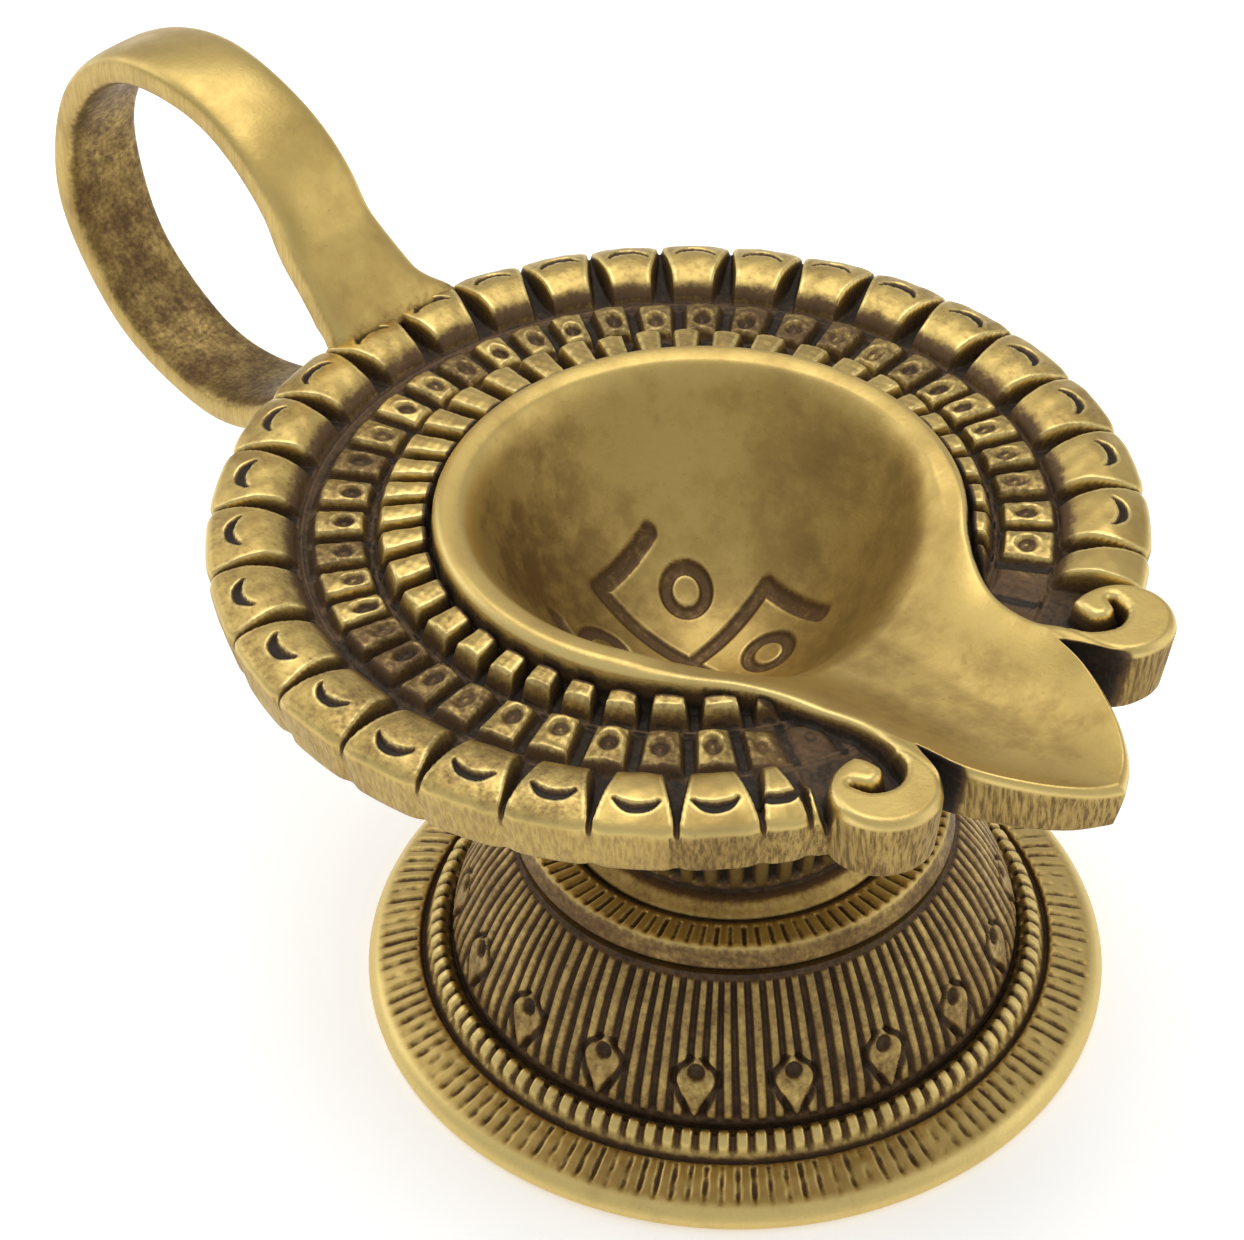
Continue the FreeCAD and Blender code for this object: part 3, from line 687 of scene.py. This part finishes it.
def pan_underside():
    """Flat under the flange, a fillet, then the bowl's ball down to the boss and its end."""
    beta = np.linspace(0, 2 * math.pi, 480, endpoint=False)[None]
    radius = outline(beta[0])[None]
    shell_low = math.sqrt(SHELL_R**2 - (BOWL_CENTRE_Z - EDGE_LOW) ** 2) + 1.0
    centre_shift = SHELL_X - FLANGE_X
    rows = []
    for share in np.linspace(0, 1, 16):
        cx = FLANGE_X + centre_shift * share
        r = (radius - EDGE_IN) * (1 - share) + shell_low * share
        z = EDGE_LOW + 0.25 * np.sin(9 * beta) * math.sin(math.pi * share) * 0.3
        rows.append((cx + r * np.cos(beta), r * np.sin(beta), z))
    low_turn = math.asin((BOWL_CENTRE_Z - EDGE_LOW + 1.0) / SHELL_R)
    boss_turn = math.acos(BOSS_R / SHELL_R)
    for turn in np.linspace(low_turn, boss_turn, 40):
        r = SHELL_R * math.cos(turn)
        shift = SHELL_X * (1 - smooth(turn, low_turn, boss_turn))
        z = np.full_like(beta, BOWL_CENTRE_Z - SHELL_R * math.sin(turn))
        rows.append((shift + r * np.cos(beta), r * np.sin(beta), z))
    boss = [(BOSS_R, 29.0), (BOSS_R, BOSS_END + 0.5), (BOSS_R - 0.4, BOSS_END), (0.0, BOSS_END)]
    for r, z in boss:
        rows.append((r * np.cos(beta), r * np.sin(beta), np.full_like(beta, z)))
    points = np.stack([np.stack(row, axis=-1)[0] for row in rows])
    tones = {"patina_and_shade": 0.22, "worn": 0.0, "bowl": 0.0, "edge": 0.6}
    return skin("pan_underside", points, tones, closed=True, pole_last=True)


# ---- turned and chased pieces --------------------------------------------------------------
PLAIN_TONES = {"patina_and_shade": 0.3, "worn": 0.0, "bowl": 0.0, "edge": 0.3}


def lathe(name, profile, columns, relief=None, **joins):
    """Profile of (radius, height) carried round the axis, pushed along its own normal.

    relief gives the push and the tones from the run along the profile, radius and turn.
    """
    profile = np.array(profile, float)
    run = np.concatenate([[0], np.cumsum(np.linalg.norm(np.diff(profile, axis=0), axis=1))])
    tangent = np.gradient(profile, axis=0)
    tangent /= np.linalg.norm(tangent, axis=1)[:, None] + 1e-9
    turn = np.linspace(0, 2 * math.pi, columns, endpoint=False)[None]
    r, z, s = profile[:, :1], profile[:, 1:], run[:, None]
    push, tones = relief(s, r, z, turn) if relief else (0.0, PLAIN_TONES)
    out_r = r - push * tangent[:, 1:]
    out_z = z + push * tangent[:, :1] + 0 * turn
    points = np.stack([out_r * np.cos(turn), out_r * np.sin(turn), out_z], axis=-1)
    return skin(name, points, tones, closed=True, **joins)


def tones_of(shape, patina_and_shade, worn, edge=0.0):
    """The four tones of a chased surface as grids of one shape, held between 0 and 1."""
    tones = {"patina_and_shade": patina_and_shade, "worn": worn, "bowl": 0.0, "edge": edge}
    return {tone: np.clip(np.broadcast_to(value, shape), 0, 1) for tone, value in tones.items()}


# dome's profile, and the half width of a drop along the run up from the dome's foot
DROPS = 18
REEDS = 108
DROP_PHASE = math.radians(-93.5)
DROP_DOT = 5.1
DOME = curve([(DOME_TOP_R, COLLAR_LOW), (22.7, 14.2), (24.6, 10.5), (26.0, 7.3),
              (DOME_FOOT_R, DOME_FOOT_Z)], 80)
DROP_HALF = [(0.4, 0.0), (1.5, 0.6), (3.1, 1.35), (4.5, 1.75), (5.3, 1.35), (6.0, 0.6), (6.6, 0.0)]


def dome_relief(s, r, z, turn):
    """Reeds round the dome, each sixth ending in a punched dot above a smooth pointed drop."""
    whole = s[-1, 0]
    v = whole - s
    waver = (0.012 * np.sin(7 * turn) + 0.006 * np.sin(23 * turn + 1)) * (v / whole)
    reed = off_centre((turn - DROP_PHASE + waver) * REEDS / (2 * math.pi))
    side = off_centre((turn - DROP_PHASE) * DROPS / (2 * math.pi)) * 2 * math.pi / DROPS * r
    inside = smooth(v, 0.3, 0.8) * (1 - smooth(v, whole - 0.8, whole - 0.3))
    gap = smooth(np.abs(reed), 0.2, 0.4) * inside
    push = 0.12 - 0.55 * gap - 0.2 * (1 - inside)
    beyond = np.abs(side) - through(v, DROP_HALF)
    span = smooth(v, 0.3, 0.8) * (1 - smooth(v, 6.2, 6.7))
    body = smooth(-beyond, 0.0, 0.3) * span
    rim = (1 - smooth(np.abs(beyond - 0.28), 0.12, 0.42)) * span
    push = push * (1 - body) + 0.15 * body - 0.45 * rim
    dot = 1 - smooth(np.hypot(side, v - DROP_DOT), 0.55, 0.9)
    push = push - 0.6 * dot
    dirt = np.maximum(np.maximum(gap * (1 - body), rim), dot)
    # painted shade in the narrow band at the dome's top, under the collar; the band at its foot is the
    # dark groove before the rim
    dirt = np.maximum(dirt, 0.9 * (1 - inside))
    worn = (1 - smooth(np.abs(reed), 0.05, 0.25)) * (1 - dirt) * 0.3 + 0.12 * body
    return push, tones_of(push.shape, 0.31 + 0.5 * dirt, worn)


# rim's profile: groove, round beaded ring, groove, milled ring, plain rim and resting edge
BEADS_ROUND = 106
TICKS = 140
RIM_GROOVE_R = 29.4
RIM = curve([(DOME_FOOT_R, DOME_FOOT_Z), (26.6, 4.3), (26.9, 4.7), (27.7, 5.35), (28.6, 4.75), (29.1, 3.5),
             (29.45, 2.9), (29.8, 3.4), (31.0, 3.3), (32.4, 2.85), (33.4, 2.5), (34.1, 2.1),
             (FOOT_R - 0.45, 1.6), (FOOT_R - 0.2, 1.0), (FOOT_R - 0.5, 0.25), (REST_OUT_R, 0.0)], 90)


def rim_relief(s, r, z, turn):
    """Beaded ring, milled ring and plain rim, parted by two dark grooves."""
    bead = off_centre(turn * BEADS_ROUND / (2 * math.pi) + 0.03 * np.sin(6 * turn))
    tick = off_centre(turn * TICKS / (2 * math.pi) + 0.06 * np.sin(5 * turn))
    on_beads = smooth(r, 26.7, 27.1) * (1 - smooth(r, 28.8, 29.2))
    on_ticks = smooth(r, 29.7, 30.1) * (1 - smooth(r, 32.7, 33.9))
    bead_gap = smooth(np.abs(bead), 0.22, 0.42) * on_beads
    uneven = np.clip(0.6 + 0.5 * grain(turn, 150, 21) + 0.2 * np.sin(3.1 * r + 40 * turn), 0, 1)
    tick_gap = smooth(np.abs(tick), 0.25, 0.45) * on_ticks * uneven
    push = -0.55 * bead_gap - 0.4 * tick_gap + wobble(turn, 0.05, 8)
    groove = np.exp(-((r - RIM_GROOVE_R) / 0.28) ** 2) + (1 - smooth(r, 26.6, 27.0))
    dirt = np.maximum(np.maximum(0.68 * bead_gap, 0.7 * tick_gap), np.clip(groove, 0, 1) * 0.95)
    plain = smooth(r, 33.2, 34.0)
    worn = (0.8 * on_beads + 0.35 * on_ticks + plain) * (1 - dirt * (1 - plain))
    patina_and_shade = 0.12 * (1 - plain) + 0.75 * dirt * (1 - plain)
    return push, tones_of(push.shape, patina_and_shade, worn, edge=0.1 * plain)


def foot_pieces():
    """Chased dome, ringed rim, and the plain hollow underneath with its flat crown."""
    dome = lathe("foot_dome", DOME, 1188, dome_relief)
    rim = lathe("foot_rim", RIM, 1060, rim_relief)
    inner = polyline([(REST_OUT_R, 0.0), (REST_IN_R, 0.0), (BELL_R, BELL_LOW)], 1.0)
    bell = curve([(BELL_R, BELL_LOW), (23.8, 6.0), (21.9, 9.6), (19.6, 12.7), (CROWN_R, CROWN_UNDER)], 20)
    crown = polyline([
        (CROWN_R, CROWN_UNDER), (STUD_HOLE_R, CROWN_UNDER), (STUD_HOLE_R, REGISTER_TOP),
        (REGISTER_R, REGISTER_TOP), (REGISTER_R, COLLAR_LOW), (DOME_TOP_R, COLLAR_LOW),
    ], 1.2)
    hollow = lathe("foot_hollow", np.concatenate([inner[:-1], bell[:-1], crown]), 240)
    return [dome, rim, hollow]


COLLAR_TICKS = 96


def collar_relief(s, r, z, turn):
    """Radial cuts across the collar's top and a soft plain side."""
    tick = off_centre(turn * COLLAR_TICKS / (2 * math.pi) + 0.04 * np.sin(3 * turn))
    top = smooth(r, 16.9, 17.2) * (1 - smooth(r, 19.3, 19.7)) * (z > COLLAR_TOP - 0.9)
    gap = smooth(np.abs(tick), 0.2, 0.48) * top * (0.7 + 0.3 * grain(turn, 110, 22))
    push = -0.4 * gap + wobble(turn, 0.04, 2)
    seat = (1 - smooth(r, 16.5, 16.9)) * (z > COLLAR_LOW + 1)
    worn = 0.7 * top * (1 - gap) + 0.35 * smooth(r, 19.55, 19.75) * (z > 20.0)
    side = smooth(r, 19.6, 19.9) * (z < 20.3)
    # painted shade at the collar's foot, where it meets the dome; the slanted side is also drawn a little
    # darker
    low_dark = 0.5 * (1 - smooth(z, COLLAR_LOW, COLLAR_LOW + 0.9)) + 0.25 * side
    patina_and_shade = 0.16 + 0.5 * gap + 0.7 * seat + low_dark
    return push, tones_of(push.shape, patina_and_shade, worn, edge=0.4 * side)


def collar_piece():
    """Collar: hole, seat, reeded top, slanted side and flat bottom, as one closed ring."""
    seat_edge = (SEAT_R + 0.5, COLLAR_TOP - 0.15)
    top_edge = (TICKS_OUT_R, COLLAR_TOP)
    low_edge = (COLLAR_R - 0.7, COLLAR_LOW)
    seat = [(STUD_HOLE_R, CALYX_LOW), (SEAT_R, CALYX_LOW), (SEAT_R, COLLAR_TOP - 0.3), seat_edge]
    side = [top_edge, (19.75, COLLAR_TOP - 0.25), (COLLAR_R, COLLAR_LOW + 0.8), low_edge]
    under = [low_edge, (REGISTER_R, COLLAR_LOW), (REGISTER_R, REGISTER_TOP), (STUD_HOLE_R, REGISTER_TOP)]
    profile = np.concatenate([
        polyline(seat, 0.8)[:-1], polyline([seat_edge, top_edge], 0.14)[:-1],
        polyline(side, 0.3)[:-1], polyline(under, 1.2),
    ])
    return lathe("collar_ring", profile, 1056, collar_relief, looped=True)


FLUTES = 40


def calyx_relief(s, r, z, turn):
    """Upright flutes on the flared cup above a small plain bead."""
    flute = off_centre(turn * FLUTES / (2 * math.pi) + 0.05 * np.sin(4 * turn))
    body = smooth(z, 21.9, 22.6) * (1 - smooth(z, CALYX_TOP - 1.9, CALYX_TOP - 1.2)) * (r > 13.0)
    gap = smooth(np.abs(flute), 0.2, 0.42) * body
    push = -0.7 * gap + wobble(turn, 0.03, 4)
    neck = np.exp(-((z - 21.7) / 0.35) ** 2)
    dirt = np.maximum(gap, 0.95 * neck * (r > 12))
    worn = (1 - smooth(np.abs(flute), 0.05, 0.25)) * body * 0.45
    return push, tones_of(push.shape, 0.24 + 0.7 * dirt, worn)


def calyx_piece():
    """Calyx: foot bead, fluted flare, rolled rim and a dished top that the bowl sits in."""
    neck = (13.9, 21.6)
    foot = (CALYX_FOOT_R, CALYX_LOW)
    dish = (15.5, CALYX_TOP - 0.4)
    mouth = (18.5, CALYX_TOP)
    flare = curve([neck, (14.1, 23.6), (15.0, 27.2), (16.9, 30.8), (19.0, 33.2),
                   (CALYX_RIM_R, CALYX_TOP - 0.8), (19.1, CALYX_TOP - 0.2), mouth], 74)
    bead = curve([neck, (14.8, 21.3), (15.4, 20.7), (CALYX_FOOT_R, CALYX_LOW + 0.7), foot], 14)
    inside = polyline([
        foot, (STUD_HOLE_R, CALYX_LOW), (STUD_HOLE_R, CALYX_FLOOR),
        (BOSS_SOCKET_R, CALYX_FLOOR), (BOSS_SOCKET_R, 33.2), dish,
    ], 1.5)
    profile = np.concatenate([
        flare[::-1][:-1], bead[:-1], inside[:-1], polyline([dish, mouth], 0.6)[:-1],
    ])
    return lathe("calyx_cup", profile, 800, calyx_relief, looped=True)


# ---- finger loop ---------------------------------------------------------------------------
# ring's middle, the strap's thickness and width, and the half axes of its middle line
LOOP_X = -71.3
LOOP_Z = 48.8
LOOP_Y = 0.7
STRAP = 3.4
STRAP_W = 10.4
LOOP_R = 18.2
LOOP_HALF_LONG = LOOP_R + 0.7
LOOP_HALF_HIGH = LOOP_R - 0.2
LOOP_ROWS = 340


def loop_path():
    """Middle line of the strap in the XZ plane with its width and thickness at each point.

    The palm lies on the roll, the line rises into a ring, and a reverse bend runs back
    under the flange.
    """
    turns = np.radians(np.arange(24, 319, 14))
    ring_x = LOOP_X + LOOP_HALF_LONG * np.cos(turns)
    ring_z = LOOP_Z + LOOP_HALF_HIGH * np.sin(turns)
    ring = list(zip(ring_x, ring_z))
    palm = [(-46.2, 49.0), (-47.3, 50.3), (-49.0, 51.9), (-51.2, 53.7)]
    reverse_bend = [(-55.2, 39.9), (-52.4, 41.9), (-49.2, 42.8), (-44.0, 42.9)]
    points = curve(palm + ring + reverse_bend, LOOP_ROWS)
    run = np.linspace(0, 1, LOOP_ROWS)
    width = through(run, [(0, 15.0), (0.01, 14.0), (0.02, 12.4), (0.032, 11.3), (0.05, 10.7),
                          (0.08, STRAP_W), (0.93, STRAP_W), (1, STRAP_W + 0.4)])
    thick = through(run, [(0, 2.0), (0.02, 3.0), (0.05, 3.6), (0.09, 3.6), (0.15, STRAP),
                          (0.6, STRAP), (1, STRAP)])
    return points, width, thick


def finger_loop():
    """Strap swept along its middle line: a rounded oblong section, crowned on its outer face.

    Section: super-ellipse of order 4.5, its outer half raised by a shallow crown.
    """
    line, width, thick = loop_path()
    tangent = np.gradient(line, axis=0)
    tangent /= np.linalg.norm(tangent, axis=1)[:, None]
    normal = np.stack([tangent[:, 1], -tangent[:, 0]], axis=1)
    turn = np.linspace(2 * math.pi, 0, 88, endpoint=False)[None]
    order = 2 / 4.5
    across = np.sign(np.cos(turn)) * np.abs(np.cos(turn)) ** order
    upward = np.sign(np.sin(turn)) * np.abs(np.sin(turn)) ** order
    run = np.linspace(0, 1, len(line))[:, None]
    waver = 0.12 * np.sin(23 * run + 1) + 0.08 * np.sin(51 * run)
    y = across * (width[:, None] / 2 + waver) + LOOP_Y + 1.3 * (1 - smooth(run, 0.0, 0.035))
    lift = upward * thick[:, None] / 2 + 0.32 * (1 - across**2) * (upward > 0) * upward
    lift = lift + 0.07 * np.sin(31 * run + 2 * across)
    x = line[:, :1] + normal[:, :1] * lift
    z = line[:, 1:] + normal[:, 1:] * lift
    points = np.stack([x, y, z], axis=-1)
    inner = smooth(-upward, 0.3, 0.9) + 0 * run
    corner = np.exp(-((np.abs(across) - 0.93) / 0.08) ** 2) * (upward > 0) + 0 * run
    joint = 1 - smooth(run, 0.0, 0.03)
    side = smooth(np.abs(across) + 0 * run, 0.93, 0.99)
    patina_and_shade = 0.4 * inner + 0.3 * joint * (1 - inner)
    tones = tones_of(points.shape[:2], patina_and_shade, 0.35 * corner, edge=0.5 * side + 0.25 * inner)
    ends = []
    for row in (0, -1):
        ends.append(np.broadcast_to(points[row].mean(axis=0), points[row].shape)[None])
    grid = np.concatenate([ends[0], points, ends[1]])
    tones = {tone: np.concatenate([v[:1], v, v[-1:]]) for tone, v in tones.items()}
    return skin("finger_loop", grid, tones, closed=True, pole_first=True, pole_last=True)


# ---- finishes ------------------------------------------------------------------------------
class Value:
    """Number or colour carried by a shader socket; arithmetic on numbers adds Math nodes."""

    def __init__(self, finish, socket):
        self.finish = finish
        self.socket = socket

    def math(self, operation, a, b, clamp=False):
        """One Math node on two values or numbers."""
        return self.finish.node("Math", {"operation": operation, "use_clamp": clamp}, {0: a, 1: b})

    def __add__(self, other):
        return self.math("ADD", self, other)

    def __sub__(self, other):
        return self.math("SUBTRACT", self, other)

    def __rsub__(self, other):
        return self.math("SUBTRACT", other, self)

    def __mul__(self, other):
        return self.math("MULTIPLY", self, other)

    def clamped(self):
        """The value held between 0 and 1."""
        return self.math("ADD", self, 0.0, clamp=True)

    __radd__ = __add__
    __rmul__ = __mul__


class Finish:
    """A material under construction: each method adds one node and gives its output."""

    def __init__(self, name):
        self.material = bpy.data.materials.new(name)
        self.material.use_nodes = True
        self.tree = self.material.node_tree
        self.tree.nodes.clear()

    def node(self, kind, settings=None, sockets=None, out=0):
        """Any node: its settings are set first, then its sockets get numbers or links."""
        made = self.tree.nodes.new("ShaderNode" + kind)
        for key, value in (settings or {}).items():
            setattr(made, key, value)
        for key, value in (sockets or {}).items():
            if isinstance(value, Value):
                self.tree.links.new(value.socket, made.inputs[key])
            else:
                made.inputs[key].default_value = value
        return Value(self, made.outputs[out]) if len(made.outputs) else None

    def mix(self, a, b, factor):
        """Colour from a to b as the factor goes from 0 to 1."""
        colour = {"data_type": "RGBA", "clamp_factor": True}
        return self.node("Mix", colour, {0: factor, 6: a, 7: b}, out=2)

    def tone(self, name):
        """One of the tones stored on the mesh."""
        return self.node("Attribute", {"attribute_name": name}, out="Fac")

    def noise(self, place, scale, detail=3.0, rough=0.5):
        """Cloudy noise of a scale, in cells to the metre."""
        values = {"Vector": place, "Scale": scale, "Detail": detail, "Roughness": rough}
        return self.node("TexNoise", {}, values, out="Fac")

    def step(self, value, low, high):
        """S-shaped step from 0 at low to 1 at high."""
        values = {"Value": value, "From Min": low, "From Max": high}
        return self.node("MapRange", {"interpolation_type": "SMOOTHSTEP"}, values)

    def finish(self, **shader):
        """Principled shader and output; gives the finished material."""
        values = {key.replace("_", " "): value for key, value in shader.items()}
        surface = self.node("BsdfPrincipled", {}, values)
        self.node("OutputMaterial", {}, {"Surface": surface})
        return self.material


def rgb(r, g, b):
    """Linear colour from display values of 0 to 255."""
    return tuple(((c / 255 + 0.055) / 1.055) ** 2.4 for c in (r, g, b)) + (1.0,)


WHITE = (1.0, 1.0, 1.0, 1.0)
BRIGHT = rgb(226, 201, 130)
GOLD = rgb(203, 176, 106)
OLIVE = rgb(172, 143, 84)
BROWN = rgb(98, 74, 47)
DARK = rgb(36, 28, 18)


def brass(name, dull_and_shade, shine):
    """Worn cast brass: satin gold, olive mottling, brown patina in hollows with painted shade carried in
    the same tone, a brown bowl tint with painted shade and light, and bright crests.
    """
    f = Finish(name)
    place = f.node("TexCoord", out="Object")
    stretched = f.node("Mapping", {}, {"Vector": place, "Scale": (1.0, 1.0, 0.07)})
    patina_and_shade, worn = f.tone("patina_and_shade"), f.tone("worn")
    bowl, edge = f.tone("bowl"), f.tone("edge")
    clouds = f.noise(place, 90.0, 4.0, 0.6)
    blotch = f.noise(place, 320.0, 5.0, 0.65)
    speck = f.noise(place, 1900.0, 4.0, 0.6)
    strokes = f.noise(stretched, 3300.0, 3.0, 0.6)
    mottle = f.step(clouds * 0.6 + blotch * 0.4, 0.40, 0.62)
    colour = f.mix(GOLD, OLIVE, mottle * 0.55 + dull_and_shade)
    colour = f.mix(colour, BRIGHT, worn)
    # bowl tone: brown stain mottling in the bowl, carrying painted shade on its left wall and painted
    # light on its far wall
    bowl_stain = f.step(clouds * 0.5 + blotch * 0.5, 0.44, 0.60)
    colour = f.mix(colour, BROWN, bowl * (0.24 + bowl_stain * 0.2))
    filed = f.step(strokes, 0.36, 0.68)
    colour = f.mix(colour, BROWN, edge * (0.16 + filed * 0.42))
    spots = f.step(speck, 0.62, 0.76) * 0.25 + f.step(clouds, 0.56, 0.70) * 0.18
    colour = f.mix(colour, BROWN, spots)
    soil = patina_and_shade + (blotch * 0.5 + speck * 0.5 - 0.5) * 0.9 * f.step(patina_and_shade, 0.02, 0.25)
    colour = f.mix(colour, BROWN, f.step(soil, 0.12, 0.55))
    colour = f.mix(colour, DARK, f.step(soil, 0.55, 0.98) * 0.95)
    matte = f.step(soil, 0.2, 0.8)
    metallic = (1.0 - matte * 0.55).clamped()
    rough = shine + matte * 0.2 + bowl * 0.08 + mottle * 0.06 + edge * 0.14
    rough = rough + (speck - 0.5) * 0.12 - worn * 0.06
    relief = speck * 0.5 + blotch * 0.6 + strokes * edge * 1.6
    bump = f.node("Bump", {}, {"Height": relief, "Strength": 0.25, "Distance": 0.00018}, out="Normal")
    return f.finish(Base_Color=colour, Metallic=metallic, Roughness=rough.clamped(), Normal=bump)


def steel(name):
    """Zinc-grey steel of the hidden fixing, clouded and lightly pitted."""
    f = Finish(name)
    place = f.node("TexCoord", out="Object")
    clouds = f.noise(place, 500.0, 4.0, 0.6)
    pits = f.noise(place, 3200.0, 3.0, 0.6)
    colour = f.mix(rgb(176, 174, 168), rgb(118, 112, 104), f.step(clouds, 0.42, 0.62))
    rough = 0.38 + clouds * 0.2
    bump = f.node("Bump", {}, {"Height": pits, "Strength": 0.3, "Distance": 0.0001}, out="Normal")
    return f.finish(Base_Color=colour, Metallic=1.0, Roughness=rough, Normal=bump)


def pale_floor(name):
    """Matte near-white paper with a faint tooth."""
    f = Finish(name)
    place = f.node("TexCoord", out="Object")
    tooth = f.noise(place, 60.0, 3.0, 0.5)
    colour = f.mix(rgb(252, 252, 251), rgb(248, 248, 247), tooth)
    return f.finish(Base_Color=colour, Roughness=0.9, Emission_Color=WHITE, Emission_Strength=0.34)


# ---- putting it together -------------------------------------------------------------------
def dress(piece, material, node):
    """Give a piece its finish, and let it stand for its CAD node."""
    piece.data.materials.append(material)
    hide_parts(node)


pan_finish = brass("pan_brass", 0.05, 0.40)
# painted shade: foot, collar and calyx get duller, more olive brass, partly their own tone and partly the
# pan's shade over them
shaded_foot_finish = brass("foot_brass", 0.62, 0.42)
loop_finish = brass("loop_brass", 0.0, 0.38)
for piece in (pan_floor(), pan_lip(), pan_chasing(), pan_roll(), pan_spout(), pan_underside()):
    dress(piece, pan_finish, "pan")
for piece in foot_pieces():
    dress(piece, shaded_foot_finish, "foot")
dress(collar_piece(), shaded_foot_finish, "neck_collar")
dress(calyx_piece(), shaded_foot_finish, "calyx")
dress(finger_loop(), loop_finish, "handle_loop")

# the hidden fixing is carried over from CAD and only gets its finish
steel_finish = steel("fixing_steel")
for node in ("tie_stud", "foot_washer", "foot_nut"):
    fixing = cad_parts[node]
    for i in range(len(fixing.data.materials)):
        fixing.data.materials[i] = steel_finish
    if not fixing.data.materials:
        fixing.data.materials.append(steel_finish)


def floor_sheet():
    """Square sheet of pale paper under the foot, a flat grid of four cells by four."""
    half = 3000.0
    side = np.linspace(-half, half, 5)
    x, y = np.meshgrid(side, side)
    points = np.stack([x, y, np.zeros_like(x)], axis=-1)
    mesh = bpy.data.meshes.new("paper_floor")
    ids = np.arange(x.size).reshape(x.shape)
    cells = np.stack([ids[:-1, :-1], ids[:-1, 1:], ids[1:, 1:], ids[1:, :-1]], axis=-1).reshape(-1, 4)
    mesh.from_pydata((points.reshape(-1, 3) * MM).tolist(), [], cells.tolist())
    sheet = bpy.data.objects.new("paper_floor", mesh)
    bpy.context.scene.collection.objects.link(sheet)
    mesh.materials.append(pale_floor("pale_paper"))


floor_sheet()


# ---- light and camera ----------------------------------------------------------------------
def soft_box(name, place, aim, width, height, power):
    """Rectangular soft light at a place, turned to face an aim point, both in metres."""
    light = bpy.data.lights.new(name, "AREA")
    light.shape = "RECTANGLE"
    light.size, light.size_y = width, height
    light.energy = power
    lamp = bpy.data.objects.new(name, light)
    lamp.location = place
    lamp.rotation_euler = (Vector(aim) - Vector(place)).to_track_quat("-Z", "Y").to_euler()
    bpy.context.scene.collection.objects.link(lamp)


def studio():
    """Even pale surroundings, a large box overhead and one on each side."""
    world = bpy.data.worlds.new("studio")
    world.use_nodes = True
    surround = world.node_tree.nodes["Background"]
    surround.inputs["Color"].default_value = WHITE
    surround.inputs["Strength"].default_value = 0.62
    bpy.context.scene.world = world
    aim = (0.0, 0.0, 0.04)
    soft_box("overhead_box", (-0.25, 0.15, 1.0), aim, 0.8, 0.8, 4.2)
    soft_box("left_box", (-1.1, -0.3, 0.6), aim, 0.8, 0.8, 2.0)
    soft_box("back_box", (0.85, 0.8, 0.6), aim, 0.9, 0.9, 1.8)
    bpy.context.scene.view_settings.view_transform = "Standard"


VIEW_AZIMUTH = math.radians(46.516)
VIEW_ELEVATION = math.radians(40.114)
VIEW_ROLL = math.radians(-1.438)
VIEW_AIM = Vector((-21.119, 6.424, 25.0)) * MM
VIEW_DISTANCE = 342.317 * MM
SENSOR = 36.0
LENS = SENSOR * 3600.0 / 1244.0


def camera():
    """Long lens from the spout's left front, looking down, rolled slightly.

    The camera's axes are the way back from the aim, the level right and their cross product,
    with the last two turned about the first by the roll.
    """
    level_back = math.cos(VIEW_ELEVATION)
    ahead_x, ahead_y = math.sin(VIEW_AZIMUTH), math.cos(VIEW_AZIMUTH)
    back = Vector((ahead_x * level_back, -ahead_y * level_back, math.sin(VIEW_ELEVATION)))
    right = Vector((ahead_y, ahead_x, 0.0))
    up = back.cross(right)
    level = right * math.cos(VIEW_ROLL) + up * math.sin(VIEW_ROLL)
    head = up * math.cos(VIEW_ROLL) - right * math.sin(VIEW_ROLL)
    data = bpy.data.cameras.new("view_camera")
    data.sensor_width = SENSOR
    data.lens = LENS
    data.clip_start = 0.01
    eye = bpy.data.objects.new("view_camera", data)
    turn = Matrix((level, head, back)).transposed().to_4x4()
    eye.matrix_world = Matrix.Translation(VIEW_AIM + back * VIEW_DISTANCE) @ turn
    bpy.context.scene.collection.objects.link(eye)
    bpy.context.scene.camera = eye


studio()
camera()

bpy.context.view_layer.update()
